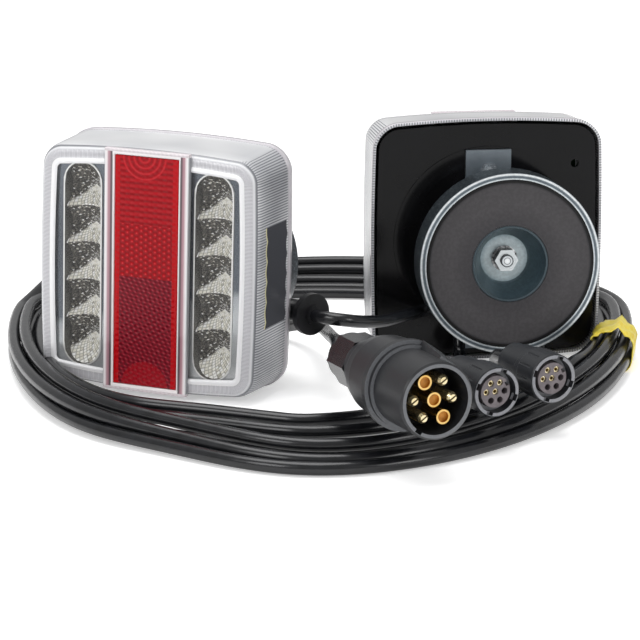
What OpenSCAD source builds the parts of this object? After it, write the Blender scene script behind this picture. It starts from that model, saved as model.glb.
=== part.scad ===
/* [Lamp housing] */
// Width of a lamp across its rear rim
lamp_w = 113; // [107:1:119]
// Height of a lamp
lamp_h = 118; // [114:1:122]
// Depth from the rear rim to the front frame
lamp_d = 38.5; // [37.5:0.5:42]
// Radius of the lamp's four corners
corner_r = 12; // [9:0.5:15]
// Bow of the top and bottom edges
bow_z = 2.5; // [1:0.25:3.5]
// Bow of the side edges
bow_x = 1.2; // [0.4:0.2:2]
// Depth of the thin band round the rear rim
rim_band = 4; // [3:0.5:5]
// Step from that band in to the lens side
rim_step = 0.6; // [0.3:0.1:0.9]
// Draft of the lens side from the band to the front edge
draft = 0.4; // [0.2:0.1:0.8]
// Roundness of the front edge
front_round = 5; // [4:0.5:6]
// Wall of the lens at its rim
rim_t = 2.6; // [2.2:0.1:3.2]
// Wall of the lens face
face_t = 1.8; // [1.4:0.1:2.2]

/* [Lens face] */
// Width of the raised block down the middle of the lens
block_w = 43; // [41:0.5:44]
// How far the block stands in front of the frame
block_rise = 2.7; // [2:0.1:3.2]
// Distance from the block's ends to the lamp's outline
block_end = 1.5; // [1:0.5:3]
// Width of the red reflector
reflector_w = 32.6; // [31:0.2:35]
// Height of the red reflector
reflector_h = 105; // [100:0.5:107]
// Thickness of the red reflector
reflector_t = 2.2; // [1.8:0.1:2.6]
// Gap round the reflector in its pocket
reflector_gap = 0.15; // [0.1:0.05:0.3]

/* [Lamp inside] */
// Gap between the base plate and the lens
plate_gap = 0.2; // [0.1:0.05:0.4]
// Depth of the base plate's rear face below the rim
plate_sunk = 1; // [0.6:0.1:1.4]
// Thickness of the base plate
plate_t = 2.5; // [2:0.1:3]
// Height of the wall that stands round the base plate
skirt_h = 5; // [4:0.5:6]
// Thickness of that wall
skirt_t = 1.5; // [1.2:0.1:2]
// Radius of the raised disc on the rear face
disc_r = 45.5; // [42:0.5:47]
// Height of that disc
disc_rise = 0.5; // [0.3:0.1:0.8]
// Distance of each light chamber from the middle
chamber_x = 33; // [32.9:0.1:33.4]
// Width of a light chamber
chamber_w = 19.5; // [18:0.5:19.5]
// Height of a light chamber
chamber_h = 95; // [94:0.5:96]
// Number of lights in a chamber
light_count = 5; // [4:1:5]
// Distance from one light to the next
light_pitch = 17.5; // [16.5:0.25:18]
// Radius of the opening at the bottom of a reflector cup
cup_hole_r = 3.2; // [2.9:0.1:3.6]
// Depth of a reflector cup
cup_depth = 18; // [16:0.5:19]
// Thickness of the bezel plate in front of the cups
bezel_t = 1.2; // [1:0.1:1.6]
// Gap between the bezel and the lens face
bezel_gap = 0.3; // [0.2:0.05:0.5]
// Thickness of the circuit board
board_t = 1.6; // [1.2:0.1:2]
// Width of the circuit board
board_w = 92; // [86:1:96]
// Height of the circuit board
board_h = 100; // [94:1:104]
// Distance from the base plate to the circuit board
board_gap = 8.5; // [8:0.5:9.5]
// Radius of a light
light_r = 2.5; // [2:0.1:2.6]
// Length of a light
light_len = 5; // [4.5:0.1:6]

/* [Magnet mount] */
// Diameter of the magnet cup
magnet_d = 87; // [84:1:90]
// Depth of the magnet cup
magnet_h = 17; // [15:0.5:19]
// Wall of the magnet cup
magnet_wall = 3; // [2.5:0.1:3.5]
// Floor of the magnet cup
magnet_floor = 2; // [1.6:0.1:2.4]
// Gap between the cup wall and the magnet ring
magnet_gap = 0.4; // [0.2:0.1:0.8]
// Diameter of the hole in the magnet ring
magnet_hole_d = 37; // [34:0.5:40]
// Thickness of the pressed dish in that hole
dish_t = 1; // [0.8:0.1:1.4]
// Diameter of the dish's flat bottom
dish_d = 24; // [22:0.5:26]
// Height of the magnet's middle above the ground
magnet_z = 53; // [51:0.5:55]
// Sideways distance of the magnet from the lamp's middle
magnet_shift = 5; // [3:0.5:6]
// Width of the bracket strap
strap_w = 22; // [20:0.5:25]
// Thickness of the bracket strap
strap_t = 2; // [1.5:0.1:2.5]
// Height of the strap's raised middle over the base plate
strap_rise = 11; // [10.5:0.5:12]
// Height of the strap's top end above the ground
strap_top = 103; // [101:0.5:104]
// Length of each end tab of the strap
tab_len = 18; // [16:0.5:20]
// Height over which the strap steps out
strap_step = 6; // [5:0.5:8]
// Diameter of the bolt through the magnet
bolt_d = 6; // [5:0.5:6]
// Width of that bolt's nut and head across the flats
bolt_flats = 10; // [9:0.5:10]
// Height of that bolt's nut
nut_h = 5; // [4:0.5:6]
// Height of that bolt's head
head_h = 3.5; // [3:0.25:4]
// Diameter of the studs that hold the strap
stud_d = 5; // [4:0.5:5]
// Width of the stud nuts across the flats
stud_flats = 8; // [7.5:0.5:8.5]
// Height of the stud nuts
stud_nut_h = 4; // [3:0.5:5]
// Play of each thread and bolt in its hole
bolt_play = 0.15; // [0.1:0.05:0.3]

/* [Lead boots] */
// Diameter of the cable
cable_d = 6; // [5.6:0.1:6.2]
// Distance of the side boot from the lamp's middle
boot_x = 36.6; // [36:0.1:37]
// Height of the lead boots above the ground
boot_z = 37.5; // [37:0.5:38]
// Distance of the side boot's straight middle from the lamp's rim plane
boot_out = 6.5; // [6.4:0.1:6.6]
// Radius of its turn into that middle
boot_bend = 5.5; // [5.3:0.1:5.6]
// Distance of that middle's end inside the lamp's side
boot_short = 0.9; // [0.5:0.1:1.5]
// Turn of its outer end back towards the front
boot_turn = 30; // [27:1:33]
// Diameter of the side boot's neck
boot_neck_d = 10.4; // [9:0.1:11]
// Length of the neck before the flange
boot_neck = 4.5; // [4:0.5:5]
// Diameter of the side boot's flange
boot_flange_d = 19.6; // [18:0.2:20]
// Thickness of that flange
boot_flange_t = 3; // [2.5:0.1:3.5]
// Distance of the down-turned boots from the lamp's middle
elbow_x = 24; // [23:0.5:25]
// Radius of their turn
elbow_bend = 7; // [6.5:0.1:7]
// Diameter of the down-turned boots
elbow_d = 9.5; // [8.5:0.1:9.8]

/* [Plug] */
// Diameter of the plug's nose
nose_d = 33; // [32:0.2:34]
// Length of the plug's nose
nose_len = 28; // [26:0.5:30]
// Wall of the plug's nose
nose_wall = 2.3; // [2:0.1:2.6]
// Depth of the hollow in the nose
nose_depth = 20; // [18:0.5:21]
// Largest diameter of the plug's body
plug_d = 39.5; // [38:0.25:40]
// Length of the plug's body behind the nose
plug_len = 38; // [36:0.5:40]
// Wall of the plug's body
plug_wall = 2.2; // [2:0.1:2.6]
// Diameter of the gland nut across its flats
gland_flats = 21.5; // [20:0.5:23]
// Length of the gland nut
gland_len = 21; // [19:0.5:23]
// Radius of the circle of contacts
contact_ring_r = 8.8; // [8.6:0.1:9]
// Diameter of the solid pins
pin_d = 4.8; // [4.6:0.1:5]
// Diameter of the tube contacts
tube_d = 6.3; // [6:0.1:6.5]
// Bore of the tube contacts
tube_bore = 4.7; // [4.5:0.1:4.9]
// How far the contacts end inside the nose
contact_sunk = 5.5; // [5.2:0.1:6]
// Thickness of the contact carrier
carrier_t = 10; // [9:0.5:11]

/* [Bayonet couplings] */
// Diameter of the coupling ring
ring_d = 22; // [21.5:0.25:22.5]
// Length of the coupling ring
ring_len = 14; // [13:0.5:15]
// Diameter of the barrel inside the ring
barrel_d = 18; // [17.8:0.05:18.1]
// Running gap between the ring and the barrel
ring_gap = 0.08; // [0.06:0.01:0.1]
// Wall of the barrel
barrel_wall = 1.6; // [1.4:0.1:1.8]
// How far the barrel's mouth lies inside the ring
barrel_sunk = 5; // [4:0.5:6]
// Diameter of the contact insert
insert_d = 14; // [13.8:0.1:14.4]
// Length of the whole coupling
coupling_len = 40; // [38:0.5:42]
// Diameter of the rear cap
rear_cap_d = 17; // [16:0.5:18]
// Distance between the contacts of a coupling
socket_pitch = 4.3; // [4.2:0.05:4.4]
// Diameter of the contact holes
socket_d = 2.8; // [2.6:0.1:2.9]

/* [Layout] */
// Place of the left lamp from side to side
left_x = -70.5; // [-72:0.5:-69]
// Place of the left lamp from front to back
left_y = -14.5; // [-16:0.5:-13]
// Turn of the left lamp
left_turn = -20.7; // [-22:0.1:-19]
// Lean of the left lamp as it rocks on its bowed foot
left_lean = 1.6; // [0:0.2:2]
// Place of the right lamp from side to side
right_x = 77.5; // [77:0.5:78.5]
// Place of the right lamp from front to back
right_y = 23.2; // [22.5:0.1:24]
// Turn of the right lamp
right_turn = 189; // [188.5:0.5:189.5]
// Turn of the plug
plug_turn = 24.5; // [24:0.5:25]
// Turn of the bayonet couplings
coupling_turn = 25; // [24.5:0.5:25.5]
// Width of the tie round the coil
tie_w = 10; // [8:0.5:12]
// Thickness of the tie
tie_t = 0.6; // [0.5:0.1:0.8]

/* [Hidden] */
$fn = 64;
clear = "gainsboro";
chrome = "silver";
zinc = "lightsteelblue";
plastic = "dimgray";
rubber = "#202020";

// Rear rim plane is y = 0 in a lamp, its front looks along -Y and its foot is at z = 0
mid_z = lamp_h / 2;
wall_y = -lamp_d + front_round;
cavity_y = -lamp_d + face_t;
cavity_in = rim_t + draft;
plate_in = rim_t + plate_gap;
plate_front = -plate_sunk - plate_t;
seat_y = -plate_sunk + disc_rise;
bezel_front = cavity_y + bezel_gap;
bezel_back = bezel_front + bezel_t;
cup_back = bezel_back + cup_depth;
board_back = plate_front - board_gap;
board_front = board_back - board_t;
cup_rim_r = norm([chamber_w / 2, light_pitch / 2]);
bezel_in = front_round + face_t;
strap_out = seat_y + strap_rise + strap_t;
strap_bottom = plate_in + 3;
stud_z = [strap_top - tab_len * 0.58, strap_bottom + tab_len * 0.45];
post_r = 3.5;
post_screw_r = 1.5;
post_x = board_w / 2 - 5;
post_z = board_h / 2 - 6;

window_z = 54;
window_h = 46;
window_deep = 19;
window_in = 5.6;
window_t = 1.6;
window_lights = 3;

nose_r = nose_d / 2;
nose_bore_r = nose_r - nose_wall;
carrier_front = nose_depth;
plug_back = nose_len + plug_len;
cable_play = 0.1;
boot_turn_r = 10;
vent_x = 43;
vent_z = 95;
vent_r = 2;

ring_in_r = barrel_d / 2 + ring_gap;
snap_r = barrel_d / 2 + 0.5;
snap_play = 0.2;
snap_s = barrel_sunk + 3;
snap_w = 1.6;

plug_at = [45, -194.5, 36];
coupling_a_at = [72.5, -145.5, 27];
coupling_b_at = [98.5, -122.5, 27];

// The coil is an egg-shaped bundle; each pair is an angle and a size there
coil_mid = [-2.5, 77];
coil_half_w = 155.5;
coil_near = 262;
coil_far = 121;
coil_lean = 9.2;
coil_width = [[0, 22], [15, 30], [40, 40], [90, 46], [130, 42], [165, 30], [185, 17.5], [197, 13],
    [203, 12], [208, 12.5], [222, 24], [245, 42], [270, 54], [295, 46], [320, 32], [340, 24], [348, 18],
    [351, 15.5], [355, 18.5], [360, 22]];
coil_height = [[0, 15.5], [40, 15], [140, 15.5], [185, 18], [198, 20], [210, 20], [240, 15.5],
    [330, 15], [348, 17], [355, 16], [360, 15.5]];
coil_stations = 72;
tie_angle = 355;
tie_play = 0.3;

plug_lead_route = [[10.1, -118, 36], [7.4, -112, 36], [5.2, -101, 35.8], [4.6, -87, 34.4],
    [4.2, -73, 32], [3.8, -58, 29.2], [3.2, -44, 26.4], [2.4, -31, 24], [1, -17, 22.2], [-1, -2, 20.6],
    [-3.5, 12, 19], [-6, 26, 17], [-10, 40, 13.5], [-16, 53, 9.5], [-25, 65, 5.5], [-37, 74, 3.5],
    [-51, 82, 3.2], [-65, 90, 3.2], [-79, 99, 3.5], [-92, 109, 4.5], [-104, 120, 6], [-113, 131, 8]];
main_lamp_route = [[-89.2, 0.8, 31.3], [-89.4, 1, 22], [-89.9, 3, 13], [-91, 8.5, 6.2], [-93.8, 18, 3.4],
    [-99, 30, 3.2], [-106.5, 42, 3.2], [-117, 53, 3.6], [-130, 61.5, 5], [-140, 68, 6.5]];
link_a_lamp_route = [[-5.5, -38.1, 35.8], [-2.5, -41.8, 35.9], [2.2, -44.9, 35.8], [8.5, -45.2, 35.1],
    [14.5, -41.5, 33.6], [21, -33.8, 31.7], [27.5, -24, 30], [33.5, -13.8, 29.1], [38.4, -4.8, 28.3],
    [42.4, 3, 27.4], [46.4, 9.4, 27.2], [51.3, 12.7, 28.4], [56.5, 13.9, 29.8], [60.6, 14.5, 29.2],
    [63.2, 14.9, 26], [64.1, 15, 20.8], [64.2, 14.9, 15.5], [64.2, 13.8, 10.3], [64.3, 10, 5.4],
    [64.8, 3, 3.3], [66, -7, 3.2], [69.5, -19, 3.2], [77, -31, 3.2], [87, -39, 3.4], [98, -45, 4.5],
    [109, -50, 6]];
link_a_plug_route = [[56.9, -112, 27], [54, -105.8, 27], [51, -97, 25.5], [50.5, -89, 20.5],
    [54, -82, 14], [61, -78.5, 9], [71, -78, 6.5], [82, -80, 6]];
link_b_lamp_route = [[102.4, 19.4, 30.4], [102.5, 19.2, 21], [102.8, 17.4, 12], [103.5, 13, 6],
    [105, 5, 3.3], [108.5, -5, 3.2], [113.7, -14, 3.6], [121, -23, 5]];
link_b_plug_route = [[82.9, -89, 27], [79.9, -82.6, 27], [77, -74, 25.5], [77.5, -67, 20.5],
    [83, -62, 15], [91, -60.5, 11], [100, -62, 8.5], [109, -65, 8]];

// Points of a rounded rectangle whose four edges bow outward, a given distance inside the rear rim
function bowed(inset) =
    let (hw = lamp_w / 2 - inset, hh = lamp_h / 2 - inset, r = max(corner_r - inset, 2),
        corners = [[1, 1, 0], [-1, 1, 90], [-1, -1, 180], [1, -1, 270]],
        plain = [for (c = corners) each concat(
            [for (a = [c[2] : 15 : c[2] + 90]) [c[0] * (hw - r), c[1] * (hh - r)] + r * [cos(a), sin(a)]],
            [for (k = [1 : 4]) let (s = 1 - k * 0.4)
                c[0] == c[1] ? [c[0] * (hw - r) * s, c[1] * hh] : [c[0] * hw, c[1] * (hh - r) * s]])])
    [for (p = plain) [p[0] - bow_x * sign(p[0]) * pow(p[1] / hh, 2) * abs(p[0]) / hw,
        mid_z + p[1] - bow_z * sign(p[1]) * pow(p[0] / hw, 2) * abs(p[1]) / hh]];

// Solid through rings of points that match one to one
module loft(rings, closed = false) {
    n = len(rings[0]);
    m = len(rings);
    sides = [for (k = [0 : closed ? m - 1 : m - 2]) for (i = [0 : n - 1])
        [k * n + i, k * n + (i + 1) % n, (k + 1) % m * n + (i + 1) % n, (k + 1) % m * n + i]];
    ends = [[for (i = [n - 1 : -1 : 0]) i], [for (i = [0 : n - 1]) (m - 1) * n + i]];
    polyhedron([for (ring = rings) each ring], closed ? sides : concat(sides, ends));
}

// Rings of the bowed outline from the rear forward; each pair is a y and an inset
module lamp_loft(sections) {
    loft([for (s = sections) let (p = bowed(s[1]))
        [for (i = [len(p) - 1 : -1 : 0]) [p[i][0], s[0], p[i][1]]]]);
}

// Plate of a flat outline drawn in x and z, from one y forward to another
module plate(back, front) {
    translate([0, back, 0]) rotate([90, 0, 0]) linear_extrude(back - front) children();
}

// Round piece about an axis along +Y
module turned(angle = 360) {
    rotate([-90, 0, 0]) rotate_extrude(angle = angle) children();
}

module rod(r, length) {
    rotate([-90, 0, 0]) cylinder(r = r, h = length);
}

module hex_rod(flats, length) {
    rotate([-90, 0, 0]) cylinder(r = flats / sqrt(3), h = length, $fn = 6);
}

// The lowest point of the bowed foot stays on the ground as the lamp leans
module on_left() {
    lift = pow(lamp_w / 2 * sin(left_lean), 2) / (4 * bow_z * cos(left_lean));
    translate([left_x, left_y, lift]) rotate([0, 0, left_turn]) rotate([0, left_lean, 0]) children();
}

module on_right() {
    translate([right_x, right_y, 0]) rotate([0, 0, right_turn]) mirror([1, 0, 0]) children();
}

module on_both() {
    on_left() children();
    on_right() children();
}

module at_magnet(y) { translate([magnet_shift, y, magnet_z]) children(); }

module at_studs(y) { for (z = stud_z) translate([0, y, z]) children(); }

module at_posts(y) {
    for (x = [-post_x, post_x]) for (z = [-post_z, post_z]) translate([x, y, mid_z + z]) children();
}

// Place of light number i, counted from the bottom of a chamber
module at_light(side, i, y) {
    z = mid_z + (i - (light_count - 1) / 2) * light_pitch;
    translate([side * chamber_x, y, z]) children();
}

module lens() {
    color(clear) difference() {
        union() {
            lamp_loft([[0, 0], [-rim_band, 0], [-rim_band, rim_step], [wall_y, rim_step + draft],
                [wall_y - front_round * 0.5, rim_step + draft + front_round * 0.2],
                [-lamp_d + front_round * 0.1, rim_step + draft + front_round * 0.6],
                [-lamp_d, rim_step + draft + front_round]]);
            plate(wall_y, -lamp_d - block_rise) intersection() {
                polygon(bowed(block_end));
                translate([-block_w / 2, 0]) square([block_w, lamp_h]);
            }
        }
        lamp_loft([[1, rim_t], [0, rim_t], [wall_y, cavity_in],
            [cavity_y, cavity_in + front_round * 0.35]]);
        plate(-lamp_d - block_rise + reflector_t, -lamp_d - block_rise - 1) translate([0, mid_z])
            square([reflector_w + 2 * reflector_gap, reflector_h + 2 * reflector_gap], center = true);
    }
}

module reflector() {
    color("crimson") plate(-lamp_d - block_rise + reflector_t, -lamp_d - block_rise + 0.3)
        translate([0, mid_z]) square([reflector_w, reflector_h], center = true);
}

module base(window, boot_side) {
    color(rubber) difference() {
        union() {
            plate(-plate_sunk, plate_front) polygon(bowed(plate_in));
            plate(plate_front, plate_front - skirt_h) difference() {
                polygon(bowed(plate_in));
                polygon(bowed(plate_in + skirt_t));
            }
            translate([0, seat_y, mid_z]) rotate([90, 0, 0]) cylinder(r = disc_r, h = disc_rise + 0.5);
            at_posts(board_back) rod(post_r, board_gap + 0.5);
        }
        at_posts(board_back - 1) rod(post_screw_r, board_gap);
        at_studs(plate_front - 1) rod(stud_d / 2 + bolt_play, plate_t + 3);
        translate([elbow_x * boot_side, plate_front - 1, boot_z]) rod(elbow_d / 2, plate_t + 3);
        translate([vent_x, plate_front - 1, vent_z]) rod(vent_r, plate_t + 3);
        if (window) {
            translate([lamp_w / 2 - window_in - 1, plate_front - skirt_h - 1, window_z - window_h / 2 - 1])
                cube([window_in, skirt_h + 1, window_h + 2]);
            translate([boot_x, plate_front - 1, boot_z]) rod(boot_neck_d / 2, plate_t + 3);
            translate([boot_x, -plate_sunk, boot_z]) rod(boot_neck_d / 2 + 2.2, 3);
        }
    }
}

// One chamber of the reflector tray with its row of parabolic cups and its part of the bezel
module tray(side) {
    slot_r = chamber_w / 2;
    cup_k = (pow(cup_rim_r, 2) - pow(cup_hole_r, 2)) / cup_depth;
    inner_x = block_w / 2 + 0.7;
    module slot(extra) {
        translate([side * chamber_x, mid_z]) union() {
            square([chamber_w + 2 * extra, chamber_h - chamber_w], center = true);
            for (s = [-1, 1]) translate([0, s * (chamber_h - chamber_w) / 2]) circle(r = slot_r + extra);
        }
    }
    color(chrome) difference() {
        union() {
            plate(bezel_back, bezel_front) intersection() {
                polygon(bowed(bezel_in));
                translate([side > 0 ? inner_x : -inner_x - lamp_w, 0]) square([lamp_w, lamp_h]);
            }
            plate(cup_back, bezel_back) slot(1);
        }
        intersection() {
            union() {
                for (i = [0 : light_count - 1])
                    at_light(side, i, cup_back) mirror([0, 1, 0]) turned() polygon(concat(
                        [[0, -1], [cup_hole_r, -1]],
                        [for (r = [0 : 1 / 7 : 1.3]) let (q = cup_hole_r + r * (cup_rim_r - cup_hole_r))
                            [q, (q * q - cup_hole_r * cup_hole_r) / cup_k]],
                        [[0, cup_depth * 1.75]]));
            }
            plate(cup_back + 2, bezel_front - 2) slot(0);
        }
    }
}

module circuit_board() {
    color("darkgreen") difference() {
        plate(board_back, board_front) translate([0, mid_z]) square([board_w, board_h], center = true);
        at_posts(board_front - 1) rod(post_screw_r + bolt_play, board_t + 2);
    }
}

module lights() {
    color("ghostwhite") for (side = [-1, 1]) for (i = [0 : light_count - 1])
        at_light(side, i, board_front) mirror([0, 1, 0]) turned() union() {
            square([light_r, light_len - light_r]);
            intersection() {
                translate([0, light_len - light_r]) circle(r = light_r);
                square([light_r, light_len]);
            }
        }
}

module board_screw() {
    translate([0, board_front, 0]) mirror([0, 1, 0]) rod(post_screw_r * 1.9, 1.6);
    translate([0, board_front - 0.01, 0]) rod(post_screw_r - 0.05, board_t + 5);
}

// Dark strip behind the side window with its scalloped edge, and the lights on it
module plate_window() {
    scallop = window_h / 4;
    color("darkslategray") translate([lamp_w / 2 - window_in, plate_front, window_z])
        rotate([0, 90, 0]) linear_extrude(window_t) difference() {
            translate([-window_h / 2, -window_deep]) square([window_h, window_deep]);
            for (i = [0 : 3])
                translate([-window_h / 2 + scallop * (i + 0.5), -window_deep - scallop * 0.55])
                    circle(r = scallop * 0.72);
        }
}

module plate_lights() {
    color("khaki") for (i = [0 : window_lights - 1])
        translate([lamp_w / 2 - window_in + window_t, plate_front - window_deep * 0.55,
            window_z + (i - (window_lights - 1) / 2) * window_h / (window_lights + 0.5)])
            translate([0, -1.75, -1.5]) cube([0.8, 3.5, 3]);
}

// Folded strap, drawn in y and z and as wide as strap_w
module bracket() {
    low = strap_bottom;
    out = seat_y + strap_rise;
    inner = [[seat_y, strap_top], [seat_y, strap_top - tab_len], [out, strap_top - tab_len - strap_step],
        [out, low + tab_len + strap_step], [seat_y, low + tab_len], [seat_y, low]];
    miter = strap_t * (norm([strap_rise, strap_step]) - strap_step) / strap_rise;
    shift = [0, miter, miter, -miter, -miter, 0];
    outer = [for (i = [5 : -1 : 0]) inner[i] + [strap_t, shift[i]]];
    color(zinc) difference() {
        translate([strap_w / 2, 0, 0]) rotate([0, -90, 0]) linear_extrude(strap_w)
            polygon([for (p = concat(inner, outer)) [p[1], p[0]]]);
        at_studs(seat_y - 1) rod(stud_d / 2 + bolt_play, strap_t + 2);
        at_magnet(out - 1) rod(bolt_d / 2 + bolt_play, strap_t + 2);
    }
}

module magnet_cup() {
    r = magnet_d / 2;
    hole_r = bolt_d / 2 + bolt_play;
    color(zinc) at_magnet(strap_out) turned() polygon([[hole_r, 0], [r - 2, 0], [r, 2], [r, magnet_h],
        [r - magnet_wall, magnet_h], [r - magnet_wall, magnet_floor], [hole_r, magnet_floor]]);
}

module magnet_ring() {
    outer = magnet_d / 2 - magnet_wall - magnet_gap;
    inner = magnet_hole_d / 2;
    color("#383838") at_magnet(strap_out) turned() translate([inner, magnet_floor])
        square([outer - inner, magnet_h - magnet_floor]);
}

module magnet_dish() {
    low = magnet_floor;
    lip = magnet_hole_d / 2 - 0.2;
    color(zinc) at_magnet(strap_out) turned() polygon([[bolt_d / 2 + bolt_play, low], [dish_d / 2, low],
        [lip, magnet_h - 0.6], [lip, magnet_h - 0.2], [lip - dish_t, magnet_h - 0.2],
        [dish_d / 2 - dish_t * 0.6, low + dish_t], [bolt_d / 2 + bolt_play, low + dish_t]]);
}

module magnet_bolt() {
    at_magnet(strap_out - strap_t) rod(bolt_d / 2, strap_t + magnet_floor + dish_t + 1 + nut_h + 1.5);
    at_magnet(strap_out - strap_t - head_h) hex_rod(bolt_flats, head_h);
}

module magnet_washer() {
    at_magnet(strap_out + magnet_floor + dish_t) difference() {
        rod(bolt_flats * 0.62, 1);
        translate([0, -1, 0]) rod(bolt_d / 2 + bolt_play, 3);
    }
}

module magnet_nut() {
    at_magnet(strap_out + magnet_floor + dish_t + 1) difference() {
        hex_rod(bolt_flats, nut_h);
        translate([0, -1, 0]) rod(bolt_d / 2 + 0.05, nut_h + 2);
    }
}

module bracket_stud() {
    rod(stud_d / 2, -plate_front + strap_t + stud_nut_h + 3);
    translate([-stud_d * 0.8, -2.5, -stud_d * 0.8]) cube([stud_d * 1.6, 2.5, stud_d * 1.6]);
}

module bracket_nut() {
    difference() {
        hex_rod(stud_flats, stud_nut_h);
        translate([0, -1, 0]) rod(stud_d / 2 + 0.05, stud_nut_h + 2);
    }
}

// Moulded boot that leads the link cable out past the lamp's side
module side_boot() {
    neck_r = boot_neck_d / 2;
    r = neck_r - 0.1;
    start = boot_out - boot_bend;
    end_x = lamp_w / 2 - boot_short - boot_x;
    color(rubber) translate([boot_x, 0, boot_z]) union() {
        translate([0, plate_front, 0]) rod(r, start - plate_front);
        translate([0, -plate_sunk, 0]) rod(neck_r + 2, plate_sunk + 0.6);
        translate([boot_bend, start, 0]) mirror([1, 0, 0]) rotate_extrude(angle = 90)
            translate([boot_bend, 0]) circle(r = r);
        translate([boot_bend, boot_out, 0]) rotate([0, 0, -90]) rod(r, end_x - boot_bend);
        translate([end_x, boot_out - boot_turn_r, 0]) rotate([0, 0, 90 - boot_turn])
            rotate_extrude(angle = boot_turn) translate([boot_turn_r, 0]) circle(r = r);
        translate([end_x + boot_turn_r * sin(boot_turn), boot_out - boot_turn_r * (1 - cos(boot_turn)), 0])
            rotate([0, 0, -90 - boot_turn]) union() {
                rod(neck_r, boot_neck + 1);
                translate([0, boot_neck, 0]) rod(boot_flange_d / 2, boot_flange_t);
                translate([0, boot_neck + boot_flange_t - 0.5, 0]) rod(cable_d / 2 + 1.4, 2);
            }
    }
}

// Moulded boot that turns a cable down behind the magnet
module rear_boot(side) {
    r = elbow_d / 2;
    out = seat_y + 1.2;
    color(rubber) translate([elbow_x * side, 0, boot_z]) union() {
        translate([0, plate_front, 0]) rod(r - 0.1, out - plate_front);
        translate([0, seat_y, 0]) rod(r + 1.5, 1);
        translate([0, out, -elbow_bend]) rotate([0, -90, 0]) rotate_extrude(angle = 90)
            translate([elbow_bend, 0]) circle(r = r - 0.1);
    }
}

module at_plug() { translate(plug_at) rotate([0, 0, plug_turn]) children(); }

// Sleeve that goes into the socket, with its key groove and catch wedge
module plug_nose() {
    spigot_r = plug_d / 2 - plug_wall - 0.1;
    color(plastic) at_plug() difference() {
        union() {
            turned() polygon([[nose_bore_r, 0], [nose_r - 0.8, 0], [nose_r, 0.8], [nose_r, nose_len - 2],
                [nose_r + 1.5, nose_len - 2], [nose_r + 1.5, nose_len], [spigot_r, nose_len],
                [spigot_r, nose_len + 6], [nose_bore_r, nose_len + 6]]);
            rotate([0, 35, 0]) intersection() {
                translate([-5, 8, 0]) cube([10, nose_len - 8, nose_r + 3.5]);
                rotate([0, 90, 0]) translate([0, 0, -5]) linear_extrude(10) polygon([[-nose_r + 2, 8],
                    [-nose_r - 0.5, 8], [-nose_r - 3.2, nose_len], [-nose_r + 2, nose_len]]);
            }
        }
        rotate([0, 215, 0]) translate([-1.6, -1, nose_bore_r - 1]) cube([3.2, 9, 1 + nose_wall * 0.55]);
    }
}

module plug_body() {
    r = plug_d / 2;
    end = plug_back;
    exit_r = cable_d / 2 + 2.6;
    color(plastic) at_plug() turned() polygon([[r - plug_wall, nose_len], [r, nose_len], [r, nose_len + 3],
        [r - 1, nose_len + 4], [r - 2.2, nose_len + 20], [r - 4, end - 11], [r - 6.5, end - 6],
        [gland_flats / 2 + 0.8, end], [exit_r, end], [exit_r, end - 6], [r - 8, end - 9],
        [r - 4 - plug_wall, end - 13], [r - plug_wall, nose_len + 8]]);
}

function contact_spots(ids) = [for (i = ids) i < 0 ? [0, 0] :
    [contact_ring_r * cos(i * 60 + 15), contact_ring_r * sin(i * 60 + 15)]];
tube_spots = contact_spots([2, -1, 5]);
pin_spots = contact_spots([0, 1, 3, 4]);

module plug_carrier() {
    color(plastic) at_plug() translate([0, carrier_front, 0]) difference() {
        rod(nose_bore_r - 0.1, carrier_t);
        for (p = pin_spots) translate([p[0], -1, p[1]]) rod(pin_d / 2 + 0.05, carrier_t + 2);
        for (p = tube_spots) translate([p[0], -1, p[1]]) rod(tube_d / 2 + 0.05, carrier_t + 2);
    }
}

module plug_pins() {
    r = pin_d / 2;
    length = carrier_front + carrier_t - contact_sunk + 3;
    color("gold") at_plug() for (p = pin_spots) translate([p[0], contact_sunk, p[1]]) difference() {
        turned() polygon([[0, 0], [r - 0.9, 0], [r, 1.2], [r, length], [0, length]]);
        rotate([0, 40, 0]) translate([-0.35, -1, -r - 1]) cube([0.7, 10, pin_d + 2]);
    }
}

module plug_tubes() {
    color("gold") at_plug() for (p = tube_spots) translate([p[0], contact_sunk, p[1]]) difference() {
        rod(tube_d / 2, carrier_front + carrier_t - contact_sunk + 3);
        translate([0, -1, 0]) rod(tube_bore / 2, carrier_front + carrier_t - contact_sunk + 1);
    }
}

module plug_gland_nut() {
    r = gland_flats / 2;
    color(plastic) at_plug() difference() {
        union() {
            translate([0, plug_back, 0]) hex_rod(gland_flats, gland_len - 5);
            translate([0, plug_back, 0]) turned() polygon([[0, gland_len - 6], [r, gland_len - 6],
                [r, gland_len - 3], [r - 3, gland_len], [0, gland_len]]);
        }
        translate([0, plug_back - 1, 0]) rod(cable_d / 2 + 2.7, gland_len - 5);
        translate([0, plug_back, 0]) rod(cable_d / 2 + cable_play, gland_len + 1);
    }
}

module plug_gland_seal() {
    color(rubber) at_plug() translate([0, plug_back + 2, 0]) difference() {
        rod(cable_d / 2 + 2.6, gland_len - 8.2);
        translate([0, -1, 0]) rod(cable_d / 2 + cable_play, gland_len);
    }
}

module at_coupling(place) { translate(place) rotate([0, 0, coupling_turn]) children(); }

module coupling_barrel() {
    r = barrel_d / 2;
    end = coupling_len - 12;
    rib = [snap_s + snap_play, snap_s + snap_w - snap_play];
    exit_r = cable_d / 2 + 1.5;
    color(plastic) turned() polygon([[r - barrel_wall, barrel_sunk], [r, barrel_sunk], [r, rib[0]],
        [snap_r, rib[0]], [snap_r, rib[1]], [r, rib[1]], [r, ring_len + 0.3], [r + 1.6, ring_len + 0.3],
        [r + 1.6, ring_len + 3], [r + 0.4, ring_len + 5], [r + 0.4, end], [exit_r, end], [exit_r, end - 2],
        [r - barrel_wall, end - 4]]);
}

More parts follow.
